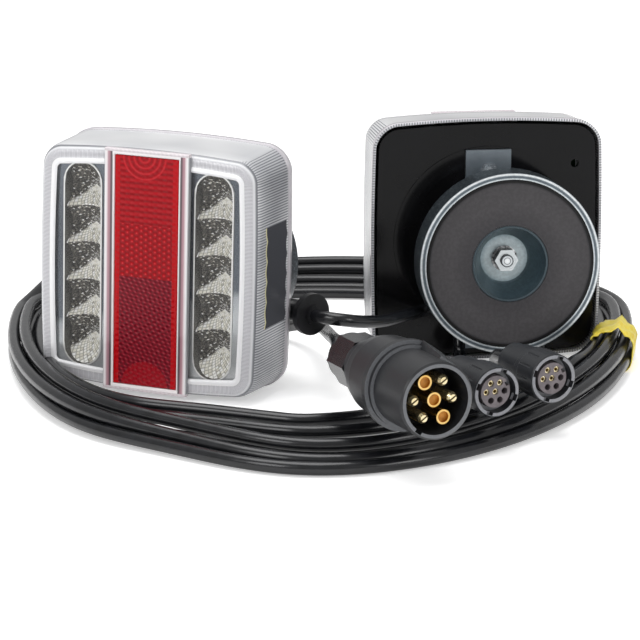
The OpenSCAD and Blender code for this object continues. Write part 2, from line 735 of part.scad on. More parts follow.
socket_spots = concat([[0, 0]], [for (i = [0 : 5]) socket_pitch * [cos(i * 60), sin(i * 60)]]);

module coupling_insert() {
    back = ring_len + 4;
    color("darkgray") difference() {
        union() {
            translate([0, 1.2, 0]) rod(insert_d / 2, back - 1.2);
            translate([0, barrel_sunk + 6, 0])
                rod(barrel_d / 2 - barrel_wall - 0.1, back - barrel_sunk - 6);
        }
        for (p = socket_spots) translate([p[0], -1, p[1]]) rod(socket_d / 2, 12);
        rotate([0, 60, 0]) translate([-1, 0, insert_d / 2 - 1.5]) cube([2, 8, 3]);
    }
}

module coupling_contacts() {
    color("gold") for (i = [0, 2, 3, 4])
        translate([socket_spots[i][0], 2, socket_spots[i][1]]) difference() {
            rod(socket_d / 2 - 0.05, 8.9);
            translate([0, -1, 0]) rod(socket_d / 2 - 0.6, 7);
        }
}

// Ring that turns on the barrel, with bayonet notches in its mouth and flutes for grip
module coupling_ring() {
    r = ring_d / 2;
    color("slategray") difference() {
        turned() polygon([[ring_in_r, 0], [r - 0.5, 0], [r, 0.5], [r, ring_len - 0.5], [r - 0.5, ring_len],
            [ring_in_r, ring_len], [ring_in_r, snap_s + snap_w], [snap_r + 0.15, snap_s + snap_w],
            [snap_r + 0.15, snap_s], [ring_in_r, snap_s]]);
        for (a = [20 : 90 : 290]) rotate([0, a, 0]) translate([-1.5, -1, ring_in_r - 1]) cube([3, 4, 2.2]);
        for (a = [0 : 30 : 330]) rotate([0, a, 0]) translate([0, 4, r + 0.35]) rod(0.7, ring_len);
    }
}

module coupling_cap() {
    r = rear_cap_d / 2;
    start = coupling_len - 12;
    color(plastic) difference() {
        turned() polygon([[0, start], [r, start], [r, start + 7], [r - 3.5, coupling_len],
            [0, coupling_len]]);
        translate([0, start - 1, 0]) rod(cable_d / 2 + cable_play, 14);
    }
}

function coil_point(t) = let (y = coil_mid[1] + (sin(t) > 0 ? coil_far : coil_near) * sin(t))
    [coil_mid[0] + coil_half_w * cos(t) - coil_lean * pow(min(sin(t), 0), 2), y];
function coil_inward(t) = let (d = coil_point(t + 1) - coil_point(t - 1)) [-d[1], d[0]] / norm(d);

// Frame at the tie, with +X pointing out of the coil
module at_tie() {
    inward = coil_inward(tie_angle);
    translate(coil_point(tie_angle)) rotate([0, 0, atan2(-inward[1], -inward[0])]) children();
}

// Bundle of turns lying on the ground, low at its outer edge and narrow where the tie draws it in
module cable_coil() {
    sections = [for (k = [0 : coil_stations - 1]) let (t = k * 360 / coil_stations, p = coil_point(t),
        q = coil_inward(t), w = lookup(t, coil_width), h = lookup(t, coil_height))
        [for (s = [[0, 0], [0, 0.35], [0.35, 0.9], [0.55, 1], [0.9, 1], [1, 0.75], [1, 0]])
            [p[0] + q[0] * w * s[0], p[1] + q[1] * w * s[0], h * s[1]]]];
    color(rubber) difference() {
        loft(sections, closed = true);
        at_tie() translate([-40, -tie_w / 2 - 0.5, -1]) cube([50, tie_w + 1, 1 + tie_t + tie_play]);
    }
}

module coil_tie() {
    w = lookup(tie_angle, coil_width);
    right = tie_play + tie_t;
    left = -w - tie_play - tie_t;
    top = lookup(tie_angle, coil_height) + tie_play + tie_t + 0.3;
    color("gold") at_tie() rotate([90, 0, 0]) translate([0, 0, -tie_w / 2]) linear_extrude(tie_w)
        difference() {
            union() {
                polygon([[left, 0], [right, 0], [right, top * 0.5], [right - 7, top], [left, top]]);
                polygon([[right - 10, top - 0.3], [right - 5, top - 0.3], [right - 7, top + 3.5]]);
            }
            polygon([[left + tie_t, tie_t], [right - tie_t, tie_t],
                [right - tie_t, top * 0.5 - tie_t * 0.5], [right - 7 - tie_t * 0.5, top - tie_t],
                [left + tie_t, top - tie_t]]);
        }
}

function heading(route, i) =
    let (d = route[min(i + 1, len(route) - 1)] - route[max(i - 1, 0)]) d / norm(d);

// Side directions along a route, each turned as little as possible from the one before
function sideways(route, last, i = 0) = i == len(route) ? [] :
    let (f = heading(route, i), q = last - f * (last * f), u = q / norm(q))
        concat([u], sideways(route, u, i + 1));

// Round tube swept through a route's points
module lead(route) {
    side = sideways(route, [1, 0.3, 0.4]);
    color(rubber) loft([for (i = [0 : len(route) - 1]) let (a = side[i], b = cross(a, heading(route, i)))
        [for (k = [0 : 9]) route[i] + cable_d / 2 * (a * cos(k * 36) + b * sin(k * 36))]]);
}

on_left() lens();  // left_lens
on_left() reflector();  // left_reflector
on_left() base(true, -1);  // left_base
on_left() tray(-1);  // left_outer_tray
on_left() tray(1);  // left_inner_tray
on_left() circuit_board();  // left_circuit_board
on_left() lights();  // left_lights
on_left() plate_window();  // left_plate_window
on_left() plate_lights();  // left_plate_lights
on_left() bracket();  // left_bracket
on_left() magnet_cup();  // left_magnet_cup
on_left() magnet_ring();  // left_magnet_ring
on_left() magnet_dish();  // left_magnet_dish
on_left() side_boot();  // left_side_boot
on_left() rear_boot(-1);  // left_rear_boot
on_right() lens();  // right_lens
on_right() reflector();  // right_reflector
on_right() base(false, 1);  // right_base
on_right() tray(-1);  // right_outer_tray
on_right() tray(1);  // right_inner_tray
on_right() circuit_board();  // right_circuit_board
on_right() lights();  // right_lights
on_right() bracket();  // right_bracket
on_right() magnet_cup();  // right_magnet_cup
on_right() magnet_ring();  // right_magnet_ring
on_right() magnet_dish();  // right_magnet_dish
on_right() rear_boot(1);  // right_rear_boot
color(zinc) on_both() at_studs(plate_front) bracket_stud();  // bracket_studs
color(zinc) on_both() at_studs(seat_y + strap_t) bracket_nut();  // bracket_nuts
color(zinc) on_both() magnet_bolt();  // magnet_bolts
color(zinc) on_both() magnet_nut();  // magnet_nuts
color(zinc) on_both() magnet_washer();  // magnet_washers
color(zinc) on_both() at_posts(0) board_screw();  // board_screws
plug_nose();
plug_body();
plug_carrier();
plug_pins();
plug_tubes();
plug_gland_nut();
plug_gland_seal();
at_coupling(coupling_a_at) coupling_barrel();  // coupling_a_barrel
at_coupling(coupling_a_at) coupling_insert();  // coupling_a_insert
at_coupling(coupling_a_at) coupling_contacts();  // coupling_a_contacts
at_coupling(coupling_a_at) coupling_ring();  // coupling_a_ring
at_coupling(coupling_a_at) coupling_cap();  // coupling_a_cap
at_coupling(coupling_b_at) coupling_barrel();  // coupling_b_barrel
at_coupling(coupling_b_at) coupling_insert();  // coupling_b_insert
at_coupling(coupling_b_at) coupling_contacts();  // coupling_b_contacts
at_coupling(coupling_b_at) coupling_ring();  // coupling_b_ring
at_coupling(coupling_b_at) coupling_cap();  // coupling_b_cap
lead(plug_lead_route);  // plug_lead
lead(main_lamp_route);  // main_lamp_lead
lead(link_a_lamp_route);  // link_a_lamp_lead
lead(link_a_plug_route);  // link_a_plug_lead
lead(link_b_lamp_route);  // link_b_lamp_lead
lead(link_b_plug_route);  // link_b_plug_lead
cable_coil();
coil_tie();
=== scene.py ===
# Looks of a magnetic trailer light kit: two lamps with magnets, a plug, two bayonet couplings and a tied
# coil of cable. Sizes are in millimetres here, and MM turns them to the frame's metres.
import bisect
import math
import bmesh
import bpy
from mathutils import Matrix, Vector


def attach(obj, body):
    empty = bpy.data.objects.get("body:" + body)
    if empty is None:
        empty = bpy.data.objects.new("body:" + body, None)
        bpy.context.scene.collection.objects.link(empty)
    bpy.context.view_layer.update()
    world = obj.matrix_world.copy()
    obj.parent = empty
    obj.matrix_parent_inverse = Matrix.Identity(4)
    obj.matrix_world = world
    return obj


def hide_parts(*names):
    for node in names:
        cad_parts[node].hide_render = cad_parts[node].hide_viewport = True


MM = 0.001
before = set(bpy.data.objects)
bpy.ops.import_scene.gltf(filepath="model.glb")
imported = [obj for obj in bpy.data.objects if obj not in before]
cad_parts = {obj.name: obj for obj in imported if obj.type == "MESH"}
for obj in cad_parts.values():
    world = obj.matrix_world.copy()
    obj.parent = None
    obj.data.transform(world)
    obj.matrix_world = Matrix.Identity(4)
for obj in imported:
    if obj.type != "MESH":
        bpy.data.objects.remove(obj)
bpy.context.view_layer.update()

# The view transform shows each colour as it is written.
LOOK_DOWN = 13.21
camera = bpy.data.objects.new("camera", bpy.data.cameras.new("camera"))
camera.location = Vector((-3, -1313.5, 332.9)) * MM
camera.rotation_euler = (math.radians(90 - LOOK_DOWN), 0, 0)
camera.data.lens = 159.1
camera.data.sensor_width = 36
bpy.context.scene.collection.objects.link(camera)
bpy.context.scene.camera = camera
bpy.context.scene.view_settings.view_transform = "Standard"


# Studio: a pale floor that runs out of view, a white surround and three broad soft lamps.
def paint(code):
    """Linear colour of an sRGB hex value such as #1c1d20"""
    parts = [int(code[i:i + 2], 16) / 255 for i in (1, 3, 5)]
    return tuple(c / 12.92 if c <= 0.04045 else ((c + 0.055) / 1.055) ** 2.4 for c in parts) + (1,)


def add(tree, kind, values=None, links=None, stops=(), out=0, **settings):
    """Adds a shader node with its settings, values, sockets and ramp stops; gives one output, or all"""
    node = tree.nodes.new("ShaderNode" + kind)
    for name, value in settings.items():
        setattr(node, name, value)
    for name, value in (values or {}).items():
        node.inputs[name].default_value = value
    for name, socket in (links or {}).items():
        tree.links.new(socket, node.inputs[name])
    for spare in stops[2:]:
        node.color_ramp.elements.new(0.5)
    for i, (place, code) in enumerate(stops):
        node.color_ramp.elements[i].position = place
    for i, (place, code) in enumerate(stops):
        node.color_ramp.elements[i].color = paint(code)
    return node.outputs if out is None else node.outputs[out]


def new_material(name, code, **values):
    """Material, its node tree and its shader, with a colour and other socket values"""
    made = bpy.data.materials.new(name)
    made.use_nodes = True
    shader = made.node_tree.nodes["Principled BSDF"]
    shader.inputs["Base Color"].default_value = paint(code)
    for key, value in values.items():
        shader.inputs[key.replace("_", " ")].default_value = value
    return made, made.node_tree, shader


def feed(shader, **sockets):
    """Links sockets to the shader's inputs, such as Base_Color=tone"""
    for key, socket in sockets.items():
        shader.id_data.links.new(socket, shader.inputs[key.replace("_", " ")])


FLOOR_HALF = 6000
FLOOR_DROP = 0.2
floor_mesh = bmesh.new()
bmesh.ops.create_grid(floor_mesh, x_segments=1, y_segments=1, size=FLOOR_HALF * MM)
floor_data = bpy.data.meshes.new("floor")
floor_mesh.to_mesh(floor_data)
floor_mesh.free()
floor = bpy.data.objects.new("floor", floor_data)
floor.location.z = -FLOOR_DROP * MM
bpy.context.scene.collection.objects.link(floor)
# Matt paper sweep: the camera and reflections see it lifted to white, and its shadows stay
floor_paint, tree, shader = new_material("matt white backdrop", "#f4f4f4", Roughness=0.9,
                                         Specular_IOR_Level=0, Emission_Color=(1, 1, 1, 1))
ray = add(tree, "LightPath", out=None)
seen = add(tree, "Math", links={0: ray["Is Camera Ray"], 1: ray["Is Glossy Ray"]}, operation="MAXIMUM")
seen = add(tree, "Math", links={0: seen, 1: ray["Is Transmission Ray"]}, operation="MAXIMUM")
lift = add(tree, "Math", values={1: 0.24}, links={0: seen}, operation="MULTIPLY")
lift = add(tree, "Math", values={1: 0.18}, links={0: ray["Is Camera Ray"], 2: lift},
           operation="MULTIPLY_ADD")
feed(shader, Emission_Strength=lift)
floor_data.materials.append(floor_paint)

world = bpy.data.worlds.new("studio")
bpy.context.scene.world = world
world.use_nodes = True
backdrop = world.node_tree.nodes["Background"]
level = add(world.node_tree, "MapRange", values={"To Min": 0.5, "To Max": 1.0},
            links={"Value": add(world.node_tree, "LightPath", out="Is Camera Ray")})
backdrop.inputs["Color"].default_value = (1, 1, 1, 1)
feed(backdrop, Strength=level)


def softbox(name, place, target, size, watts):
    """Square soft lamp that faces a target, in metres"""
    data = bpy.data.lights.new(name, "AREA")
    data.size = size
    data.energy = watts
    made = bpy.data.objects.new(name, data)
    made.location = place
    made.rotation_euler = (Vector(target) - Vector(place)).to_track_quat("-Z", "Y").to_euler()
    bpy.context.scene.collection.objects.link(made)


softbox("overhead_softbox", (-0.2, 0.1, 1.6), (0, 0, 0), 1.2, 17)
softbox("front_left_softbox", (-1.3, -1.5, 1.1), (0, 0, 0.05), 0.9, 11)
softbox("front_right_softbox", (1.4, -1.2, 0.8), (0, 0, 0.05), 0.7, 6)

# Lamp lenses: one clear acrylic moulding each, pressed over the back shell. Ribs run from back to front
# along its side walls, fine teeth go round its frame, and the windows over the lights are plain. Each is
# drawn upright, rear rim at y = 0 and front towards -Y, and set in place; the right one is mirrored.
LAMP_W, LAMP_H, LAMP_D = 113, 118, 38.5
BOW_X, BOW_Z, CORNER_R = 1.2, 2.5, 12
MID_Z = LAMP_H / 2
FRONT = -LAMP_D
LEAN, LIFT = math.radians(1.6), 0.249
LAMPS = {
    "left": Matrix.Translation((-70.5, -14.5, LIFT)) @ Matrix.Rotation(math.radians(-20.7), 4, "Z")
    @ Matrix.Rotation(LEAN, 4, "Y"),
    "right": Matrix.Translation((77.5, 23.2, 0)) @ Matrix.Rotation(math.radians(189), 4, "Z")
    @ Matrix.Scale(-1, 4, (1, 0, 0))}
TO_METRES = Matrix.Scale(MM, 4)
RIB, PER_RIB = 1.3, 4
# Depth, inset from the rim, rib height and part of each ring, from the rear rim to the windows
WALL, RIM, COMB, LIP, CLEAR = range(5)
LENS_RINGS = [(0, 1.2, 0, WALL), (0, 0, 0, RIM), (-4, 0, 0, RIM), (-4, 0.6, 0, WALL), (-5, 0.75, 0.22, WALL),
              (-27.5, 1.7, 0.22, WALL), (-33.5, 2.0, 0.22, WALL), (-36, 2.6, 0.2, COMB),
              (-37.7, 3.8, 0.2, COMB), (-38.3, 5, 0.2, COMB), (-38.5, 6.2, 0.2, COMB),
              (-38.5, 8.4, 0.2, LIP), (-39, 8.8, 0, LIP), (-39, 10, 0, LIP), (-38.2, 10.4, 0, CLEAR)]
TEETH_FROM, TEETH_SHARE = -35, 0.4
# Where the wall faces almost straight up or down it is plain
LEVEL_WALL = 0.94
# The number-plate window in the left lamp's side wall: its smooth field, and the height and depth it shows
FIELD_LOW, FIELD_HIGH, FIELD_FRONT = 34.5, 84, -30
PLATE_LOW, PLATE_HIGH, PLATE_FRONT, PLATE_BACK = 35.5, 82.5, -26.0, -4.2
# Pitch and rise of the window's scalloped front edge, and the width of the painted yellow highlight along it
SCALLOP, SCALLOP_RISE, PLATE_HIGHLIGHT = 9.4, 1.3, 1.2


def outline(inset):
    """Points of the bowed lamp outline at a distance inside the rim, with as many for each rib"""
    hw, hh, r = LAMP_W / 2 - inset, LAMP_H / 2 - inset, max(CORNER_R - inset, 2)
    side_points = round((LAMP_H - 2 * CORNER_R) / RIB) * PER_RIB
    top_points = round((LAMP_W - 2 * CORNER_R) / RIB) * PER_RIB
    corner_points = round(math.pi / 2 * CORNER_R / RIB) * PER_RIB
    flat = []
    for quarter, (sx, sz) in enumerate([(1, 1), (-1, 1), (-1, -1), (1, -1)]):
        for i in range(corner_points):
            a = math.radians(90 * (quarter + i / corner_points))
            flat.append((sx * (hw - r) + r * math.cos(a), sz * (hh - r) + r * math.sin(a)))
        level_run = quarter % 2 == 0
        count = top_points if level_run else side_points
        for i in range(count):
            s = 1 - 2 * i / count
            flat.append((sx * (hw - r) * s, sz * hh) if level_run else (sx * hw, sz * (hh - r) * s))
    return [(x - BOW_X * (z / hh) ** 2 * x / hw, MID_Z + z - BOW_Z * (x / hw) ** 2 * z / hh)
            for x, z in flat]


def outward(points, i):
    """Direction out of a closed outline at one of its points"""
    a, b = points[i - 1], points[(i + 1) % len(points)]
    run = Vector((b[0] - a[0], b[1] - a[1])).normalized()
    return Vector((run.y, -run.x))


def closed_ring(mesh, places):
    """Ring of vertices joined by edges"""
    ring = bmesh.ops.create_circle(mesh, segments=len(places), radius=1)["verts"]
    for v, place in zip(ring, places):
        v.co = place
    return ring


def drawn_out(mesh, ring, places, part):
    """Extrudes a ring to new places; the band of faces between them is one part of the piece"""
    seats = {v: i for i, v in enumerate(ring)}
    edges = [mesh.edges.get((ring[i - 1], ring[i])) for i in range(len(ring))]
    made = bmesh.ops.extrude_edge_only(mesh, edges=edges)["geom"]
    after = list(ring)
    for v in made:
        if isinstance(v, bmesh.types.BMVert):
            i = next(seats[e.other_vert(v)] for e in v.link_edges if e.other_vert(v) in seats)
            v.co = places[i]
            after[i] = v
            for face in v.link_faces:
                face.material_index = part
    return after


def lens_ring(y, inset, rib, part, plate_window):
    """One ring of the lens, with its ribs out from the wall or its teeth forward from the frame"""
    points = outline(inset)
    places = []
    for i, (x, z) in enumerate(points):
        out = outward(points, i)
        wave = rib * (0.5 - 0.5 * math.cos(2 * math.pi * i / PER_RIB))
        if y < TEETH_FROM:
            places.append((x, y - TEETH_SHARE * wave, z))
            continue
        plain = part == WALL and abs(out.y) > LEVEL_WALL
        if plate_window and x > 0 and FIELD_LOW < z < FIELD_HIGH and y > FIELD_FRONT:
            plain = True
        depth = 0 if plain else wave
        places.append((x + out.x * depth, y, z + out.y * depth))
    return places


def lens_mesh(plate_window):
    """Shell of the lens; UV maps hold ribs passed with the inset, and height with depth or the front view"""
    mesh = bmesh.new()
    run_uv = mesh.loops.layers.uv.new("run")
    flat_uv = mesh.loops.layers.uv.new("flat")
    seat = {}
    ring, band = None, None
    for y, inset, rib, part in LENS_RINGS:
        places = lens_ring(y, inset, rib, part, plate_window)
        ring = drawn_out(mesh, ring, places, band) if ring else closed_ring(mesh, places)
        band = part
        seat.update({v: (i / PER_RIB, inset) for i, v in enumerate(ring)})
    mesh.faces.new(ring).material_index = CLEAR
    total = len(ring) / PER_RIB
    for face in mesh.faces:
        runs = [seat[loop.vert][0] for loop in face.loops]
        wraps = max(runs) - min(runs) > total / 2 and len(runs) < 5
        for loop, run in zip(face.loops, runs):
            co = loop.vert.co
            loop[run_uv].uv = (run + total if wraps and run < total / 2 else run, seat[loop.vert][1])
            loop[flat_uv].uv = (co.z, co.y) if face.material_index in (WALL, RIM) else (co.x, co.z)
    return mesh


def grain_of(tree, size, detail):
    """Noise with a grain of a real size in millimetres"""
    return add(tree, "TexNoise", values={"Scale": 1 / (size * MM), "Detail": detail},
               links={"Vector": add(tree, "TexCoord", out="Object")}, out="Fac")


def between(tree, value, low, high):
    """One inside a range, else zero"""
    above = add(tree, "Math", values={1: low}, links={0: value}, operation="GREATER_THAN")
    below = add(tree, "Math", values={1: high}, links={0: value}, operation="LESS_THAN")
    return add(tree, "Math", links={0: above, 1: below}, operation="MULTIPLY")


def ribbed_acrylic(plate_window):
    """Clear acrylic wall: pale, with painted light and shade across each rib, a dark line in each groove,
    and painted shade on the top wall; one lamp's wall shows a dark window with a painted highlight along its
    scalloped edge
    """
    made, tree, shader = new_material("ribbed clear acrylic", "#e9eaec", Roughness=0.12, IOR=1.49)
    run = add(tree, "SeparateXYZ", links={0: add(tree, "UVMap", uv_map="run")}, out=None)
    flat = add(tree, "SeparateXYZ", links={0: add(tree, "UVMap", uv_map="flat")}, out=None)
    rib = add(tree, "Math", links={0: run["X"]}, operation="FRACT")
    # Painted light and shade across each rib: pale on its crest, a dark line in its groove
    painted_rib_shading = add(tree, "ValToRGB", links={"Fac": rib},
                   stops=[(0.0, "#85878c"), (0.25, "#cfd0d3"), (0.55, "#efeff1"), (0.85, "#94969c"),
                          (1.0, "#6f7278")])
    haze = grain_of(tree, 35.7, 1)
    haze_tone = add(tree, "ValToRGB", links={"Fac": haze}, stops=[(0.38, "#c2c3c6"), (0.6, "#fdfdfd")])
    tone = add(tree, "Mix", values={"Factor": 0.7}, links={"A": painted_rib_shading, "B": haze_tone}, out="Result",
               data_type="RGBA", blend_type="MULTIPLY")
    # Painted shade: the top wall, where it faces up, is darker than the side walls
    normal = add(tree, "SeparateXYZ", links={0: add(tree, "NewGeometry", out="Normal")}, out=None)
    top = add(tree, "Math", values={1: 0.9}, links={0: normal["Z"]}, operation="GREATER_THAN")
    painted_top_shade = add(tree, "ValToRGB", links={"Fac": haze}, stops=[(0.3, "#c3c4c7"), (0.7, "#dededf")])
    tone = add(tree, "Mix", links={"Factor": top, "A": tone, "B": painted_top_shade}, out="Result", data_type="RGBA")
    if plate_window:
        wave = add(tree, "Math", values={1: math.pi / SCALLOP, 2: -0.3}, links={0: flat["X"]},
                   operation="MULTIPLY_ADD")
        wave = add(tree, "Math", links={0: wave}, operation="SINE")
        wave = add(tree, "Math", links={0: wave}, operation="ABSOLUTE")
        depth = add(tree, "Math", values={1: SCALLOP_RISE}, links={0: wave, 2: flat["Y"]},
                    operation="MULTIPLY_ADD")
        outer_side = add(tree, "Math", values={1: 0.5}, links={0: normal["X"]}, operation="GREATER_THAN")
        window = add(tree, "Math", links={0: between(tree, flat["X"], PLATE_LOW, PLATE_HIGH), 1: outer_side},
                     operation="MULTIPLY")
        # The dark window, and a pale yellow painted highlight from its lights along its scalloped front edge
        for low, high, code in ((PLATE_FRONT, PLATE_BACK, "#505156"),
                                (PLATE_FRONT - PLATE_HIGHLIGHT, PLATE_FRONT, "#e9e2b4")):
            mask = add(tree, "Math", links={0: window, 1: between(tree, depth, low, high)},
                       operation="MULTIPLY")
            tone = add(tree, "Mix", values={"B": paint(code)}, links={"Factor": mask, "A": tone},
                       out="Result", data_type="RGBA")
    feed(shader, Base_Color=tone)
    return made


def toothed_acrylic():
    """Clear acrylic frame with painted light and shade: fine white and lilac lines on its moulded teeth,
    grey and white bands on its plain parts
    """
    made, tree, shader = new_material("toothed clear acrylic", "#f0eef3", Roughness=0.1, IOR=1.49)
    run = add(tree, "SeparateXYZ", links={0: add(tree, "UVMap", uv_map="run")}, out=None)
    tooth = add(tree, "Math", values={1: 2.0}, links={0: run["X"]}, operation="MULTIPLY")
    tooth = add(tree, "Math", links={0: tooth}, operation="FRACT")
    # Painted light and shade across each tooth
    painted_tooth_shading = add(tree, "ValToRGB", links={"Fac": tooth},
                     stops=[(0.0, "#8c8b92"), (0.3, "#d5d4d9"), (0.6, "#f0f0f3"), (1.0, "#84838a")])
    inset = add(tree, "MapRange", values={"From Min": 1.0, "From Max": 9.0}, links={"Value": run["Y"]})
    # Painted bands of light and shade across the plain frame, brightest at the lip round the windows
    painted_frame_bands = add(tree, "ValToRGB", links={"Fac": inset},
                     stops=[(0.0, "#b4b6ba"), (0.2, "#75777c"), (0.26, "#85878c"), (0.32, "#e9e9ec"),
                            (0.45, "#c9cacd"), (0.6, "#f4f4f6"), (1.0, "#ffffff")])
    tone = add(tree, "Mix", links={"Factor": between(tree, run["Y"], 4.3, 7.9), "A": painted_frame_bands,
                                   "B": painted_tooth_shading}, out="Result", data_type="RGBA")
    feed(shader, Base_Color=tone)
    return made


def piece(name, mesh, slot, *materials, replaces=(), smooth=True, sharp=-1):
    data = bpy.data.meshes.new(name)
    mesh.to_mesh(data)
    mesh.free()
    for material in materials:
        data.materials.append(material)
    data.polygons.foreach_set("use_smooth", [smooth and p.material_index != sharp for p in data.polygons])
    made = bpy.data.objects.new(name, data)
    bpy.context.scene.collection.objects.link(made)
    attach(made, "kit")
    if replaces:
        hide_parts(*replaces)
    return made


def set_in_place(mesh, side):
    mesh.transform(TO_METRES @ LAMPS[side])
    bmesh.ops.recalc_face_normals(mesh, faces=mesh.faces)


# Polished acrylic: glassy on its rim band and lip, and see-through in the windows, whiter seen edge on
rim_band = new_material("clear acrylic rim band", "#c9c5ca", Roughness=0.08, IOR=1.49)[0]
lip_clear = new_material("polished acrylic lip", "#fbfbfd", Roughness=0.06, IOR=1.49)[0]
window_clear, tree, shader = new_material("clear acrylic window", "#ffffff", Roughness=0.02, IOR=1.49)
edge_on = add(tree, "LayerWeight", values={"Blend": 0.35}, out="Fresnel")
feed(shader, Alpha=add(tree, "MapRange", values={"To Min": 0.03, "To Max": 0.5}, links={"Value": edge_on}))
frame_teeth = toothed_acrylic()
for side in LAMPS:
    mesh = lens_mesh(side == "left")
    set_in_place(mesh, side)
    # The shell is open at its back, so its window, the face with the most corners, tells which way is out
    window = max(mesh.faces, key=lambda face: len(face.verts))
    window.normal_update()
    if window.normal.dot(LAMPS[side].to_3x3() @ Vector((0, -1, 0))) < 0:
        bmesh.ops.reverse_faces(mesh, faces=mesh.faces)
    piece(side + "_lens_shell", mesh, "clear_lens", ribbed_acrylic(side == "left"), rim_band, frame_teeth,
          lip_clear, window_clear, replaces=[side + "_lens"], sharp=CLEAR)

# Centre bars: part of the lens moulding, a clear bar with a pocket for the red reflector. Its sides are
# painted with the red seen through them, a mauve stripe beside a painted dark shade, between two painted
# highlights.
BAR_W, BAR_RISE, BAR_END = 42, 2.7, 1.9
# The bar and its reflector sit this far to the side of the lamp's middle, as in the photograph
BAR_X = 0.9
RED_W, RED_H, RED_T = 31.4, 107, 2.2
POCKET_PLAY, POCKET_WALL = 0.15, 4


def flat_map(mesh):
    """UV map of the front view in millimetres"""
    uv = mesh.loops.layers.uv.new("flat")
    for face in mesh.faces:
        for loop in face.loops:
            loop[uv].uv = (loop.vert.co.x, loop.vert.co.z)


def bar_mesh():
    """Bar with softened edges and a pocket sunk in its front"""
    mesh = bmesh.new()
    height = LAMP_H - 2 * (BAR_END + 0.6)
    bmesh.ops.create_cube(mesh, size=1)
    for v in mesh.verts:
        v.co = (v.co.x * BAR_W, FRONT - BAR_RISE if v.co.y < 0 else FRONT + 0.6, MID_Z + v.co.z * height)
    face = min(mesh.faces, key=lambda f: f.calc_center_median().y)
    bmesh.ops.inset_region(mesh, faces=[face], thickness=POCKET_WALL, use_even_offset=True)
    for v in face.verts:
        v.co.x = math.copysign(RED_W / 2 + POCKET_PLAY, v.co.x)
        v.co.z = MID_Z + math.copysign(RED_H / 2 + POCKET_PLAY, v.co.z - MID_Z)
    sunk = bmesh.ops.extrude_discrete_faces(mesh, faces=[face])["faces"][0]
    for v in sunk.verts:
        v.co.y += RED_T
    outer = [e for e in mesh.edges if e.calc_face_angle(0) > 0.5]
    bmesh.ops.bevel(mesh, geom=outer, offset=0.7, offset_type="OFFSET", segments=3, profile=0.5,
                    affect="EDGES", material=-1)
    return mesh


def mauve_acrylic():
    """Clear acrylic bar with painted light: the red seen through each side as a mauve stripe, painted shade
    and highlights beside it, a painted white highlight round the pocket, and teeth at the ends in painted
    light and shade
    """
    made, tree, shader = new_material("clear acrylic bar", "#c9a5ad", Roughness=0.07, IOR=1.49)
    flat = add(tree, "SeparateXYZ", links={0: add(tree, "UVMap", uv_map="flat")}, out=None)
    across = add(tree, "Math", links={0: flat["X"]}, operation="ABSOLUTE")
    across = add(tree, "MapRange", values={"From Min": 15.6, "From Max": BAR_W / 2}, links={"Value": across})
    # Painted across each side: a highlight, a dark shade, the mauve of the red seen through, and a highlight
    # at the edge
    painted_side_tone = add(tree, "ValToRGB", links={"Fac": across},
                    stops=[(0.0, "#f4eef0"), (0.16, "#fbf8f9"), (0.24, "#6f6468"), (0.36, "#5d4a50"),
                           (0.44, "#a9808a"), (0.6, "#bd949d"), (0.7, "#e9dcdf"), (0.86, "#fbfafb"),
                           (1.0, "#8f9094")])
    upright = add(tree, "Math", values={1: MID_Z}, links={0: flat["Y"]}, operation="SUBTRACT")
    upright = add(tree, "Math", links={0: upright}, operation="ABSOLUTE")
    pocket_end, line = RED_H / 2, 1.5
    # Painted highlight: a white line round the pocket
    inner = add(tree, "Math", values={1: 0.22}, links={0: across}, operation="LESS_THAN")
    rim = add(tree, "Math", links={0: between(tree, upright, pocket_end, pocket_end + line), 1: inner},
              operation="MULTIPLY")
    tone = add(tree, "Mix", values={"B": paint("#f7f3f4")}, links={"Factor": rim, "A": painted_side_tone},
               out="Result", data_type="RGBA")
    # Painted light and shade of the moulded teeth at the ends
    teeth = add(tree, "Math", values={1: 2 / RIB}, links={0: flat["X"]}, operation="MULTIPLY")
    teeth = add(tree, "Math", links={0: teeth}, operation="FRACT")
    painted_teeth_shading = add(tree, "ValToRGB", links={"Fac": teeth},
                     stops=[(0.0, "#b4a6ac"), (0.4, "#ece6e9"), (0.8, "#e3dade"), (1.0, "#a99aa1")])
    end = add(tree, "Math", values={1: pocket_end + line}, links={0: upright}, operation="GREATER_THAN")
    tone = add(tree, "Mix", links={"Factor": end, "A": tone, "B": painted_teeth_shading}, out="Result",
               data_type="RGBA")
    feed(shader, Base_Color=tone)
    return made


mauve = mauve_acrylic()
for side in LAMPS:
    mesh = bar_mesh()
    flat_map(mesh)
    bmesh.ops.translate(mesh, verts=mesh.verts, vec=(BAR_X, 0, 0))
    set_in_place(mesh, side)
    piece(side + "_lens_bar", mesh, "clear_lens", mauve, smooth=False)


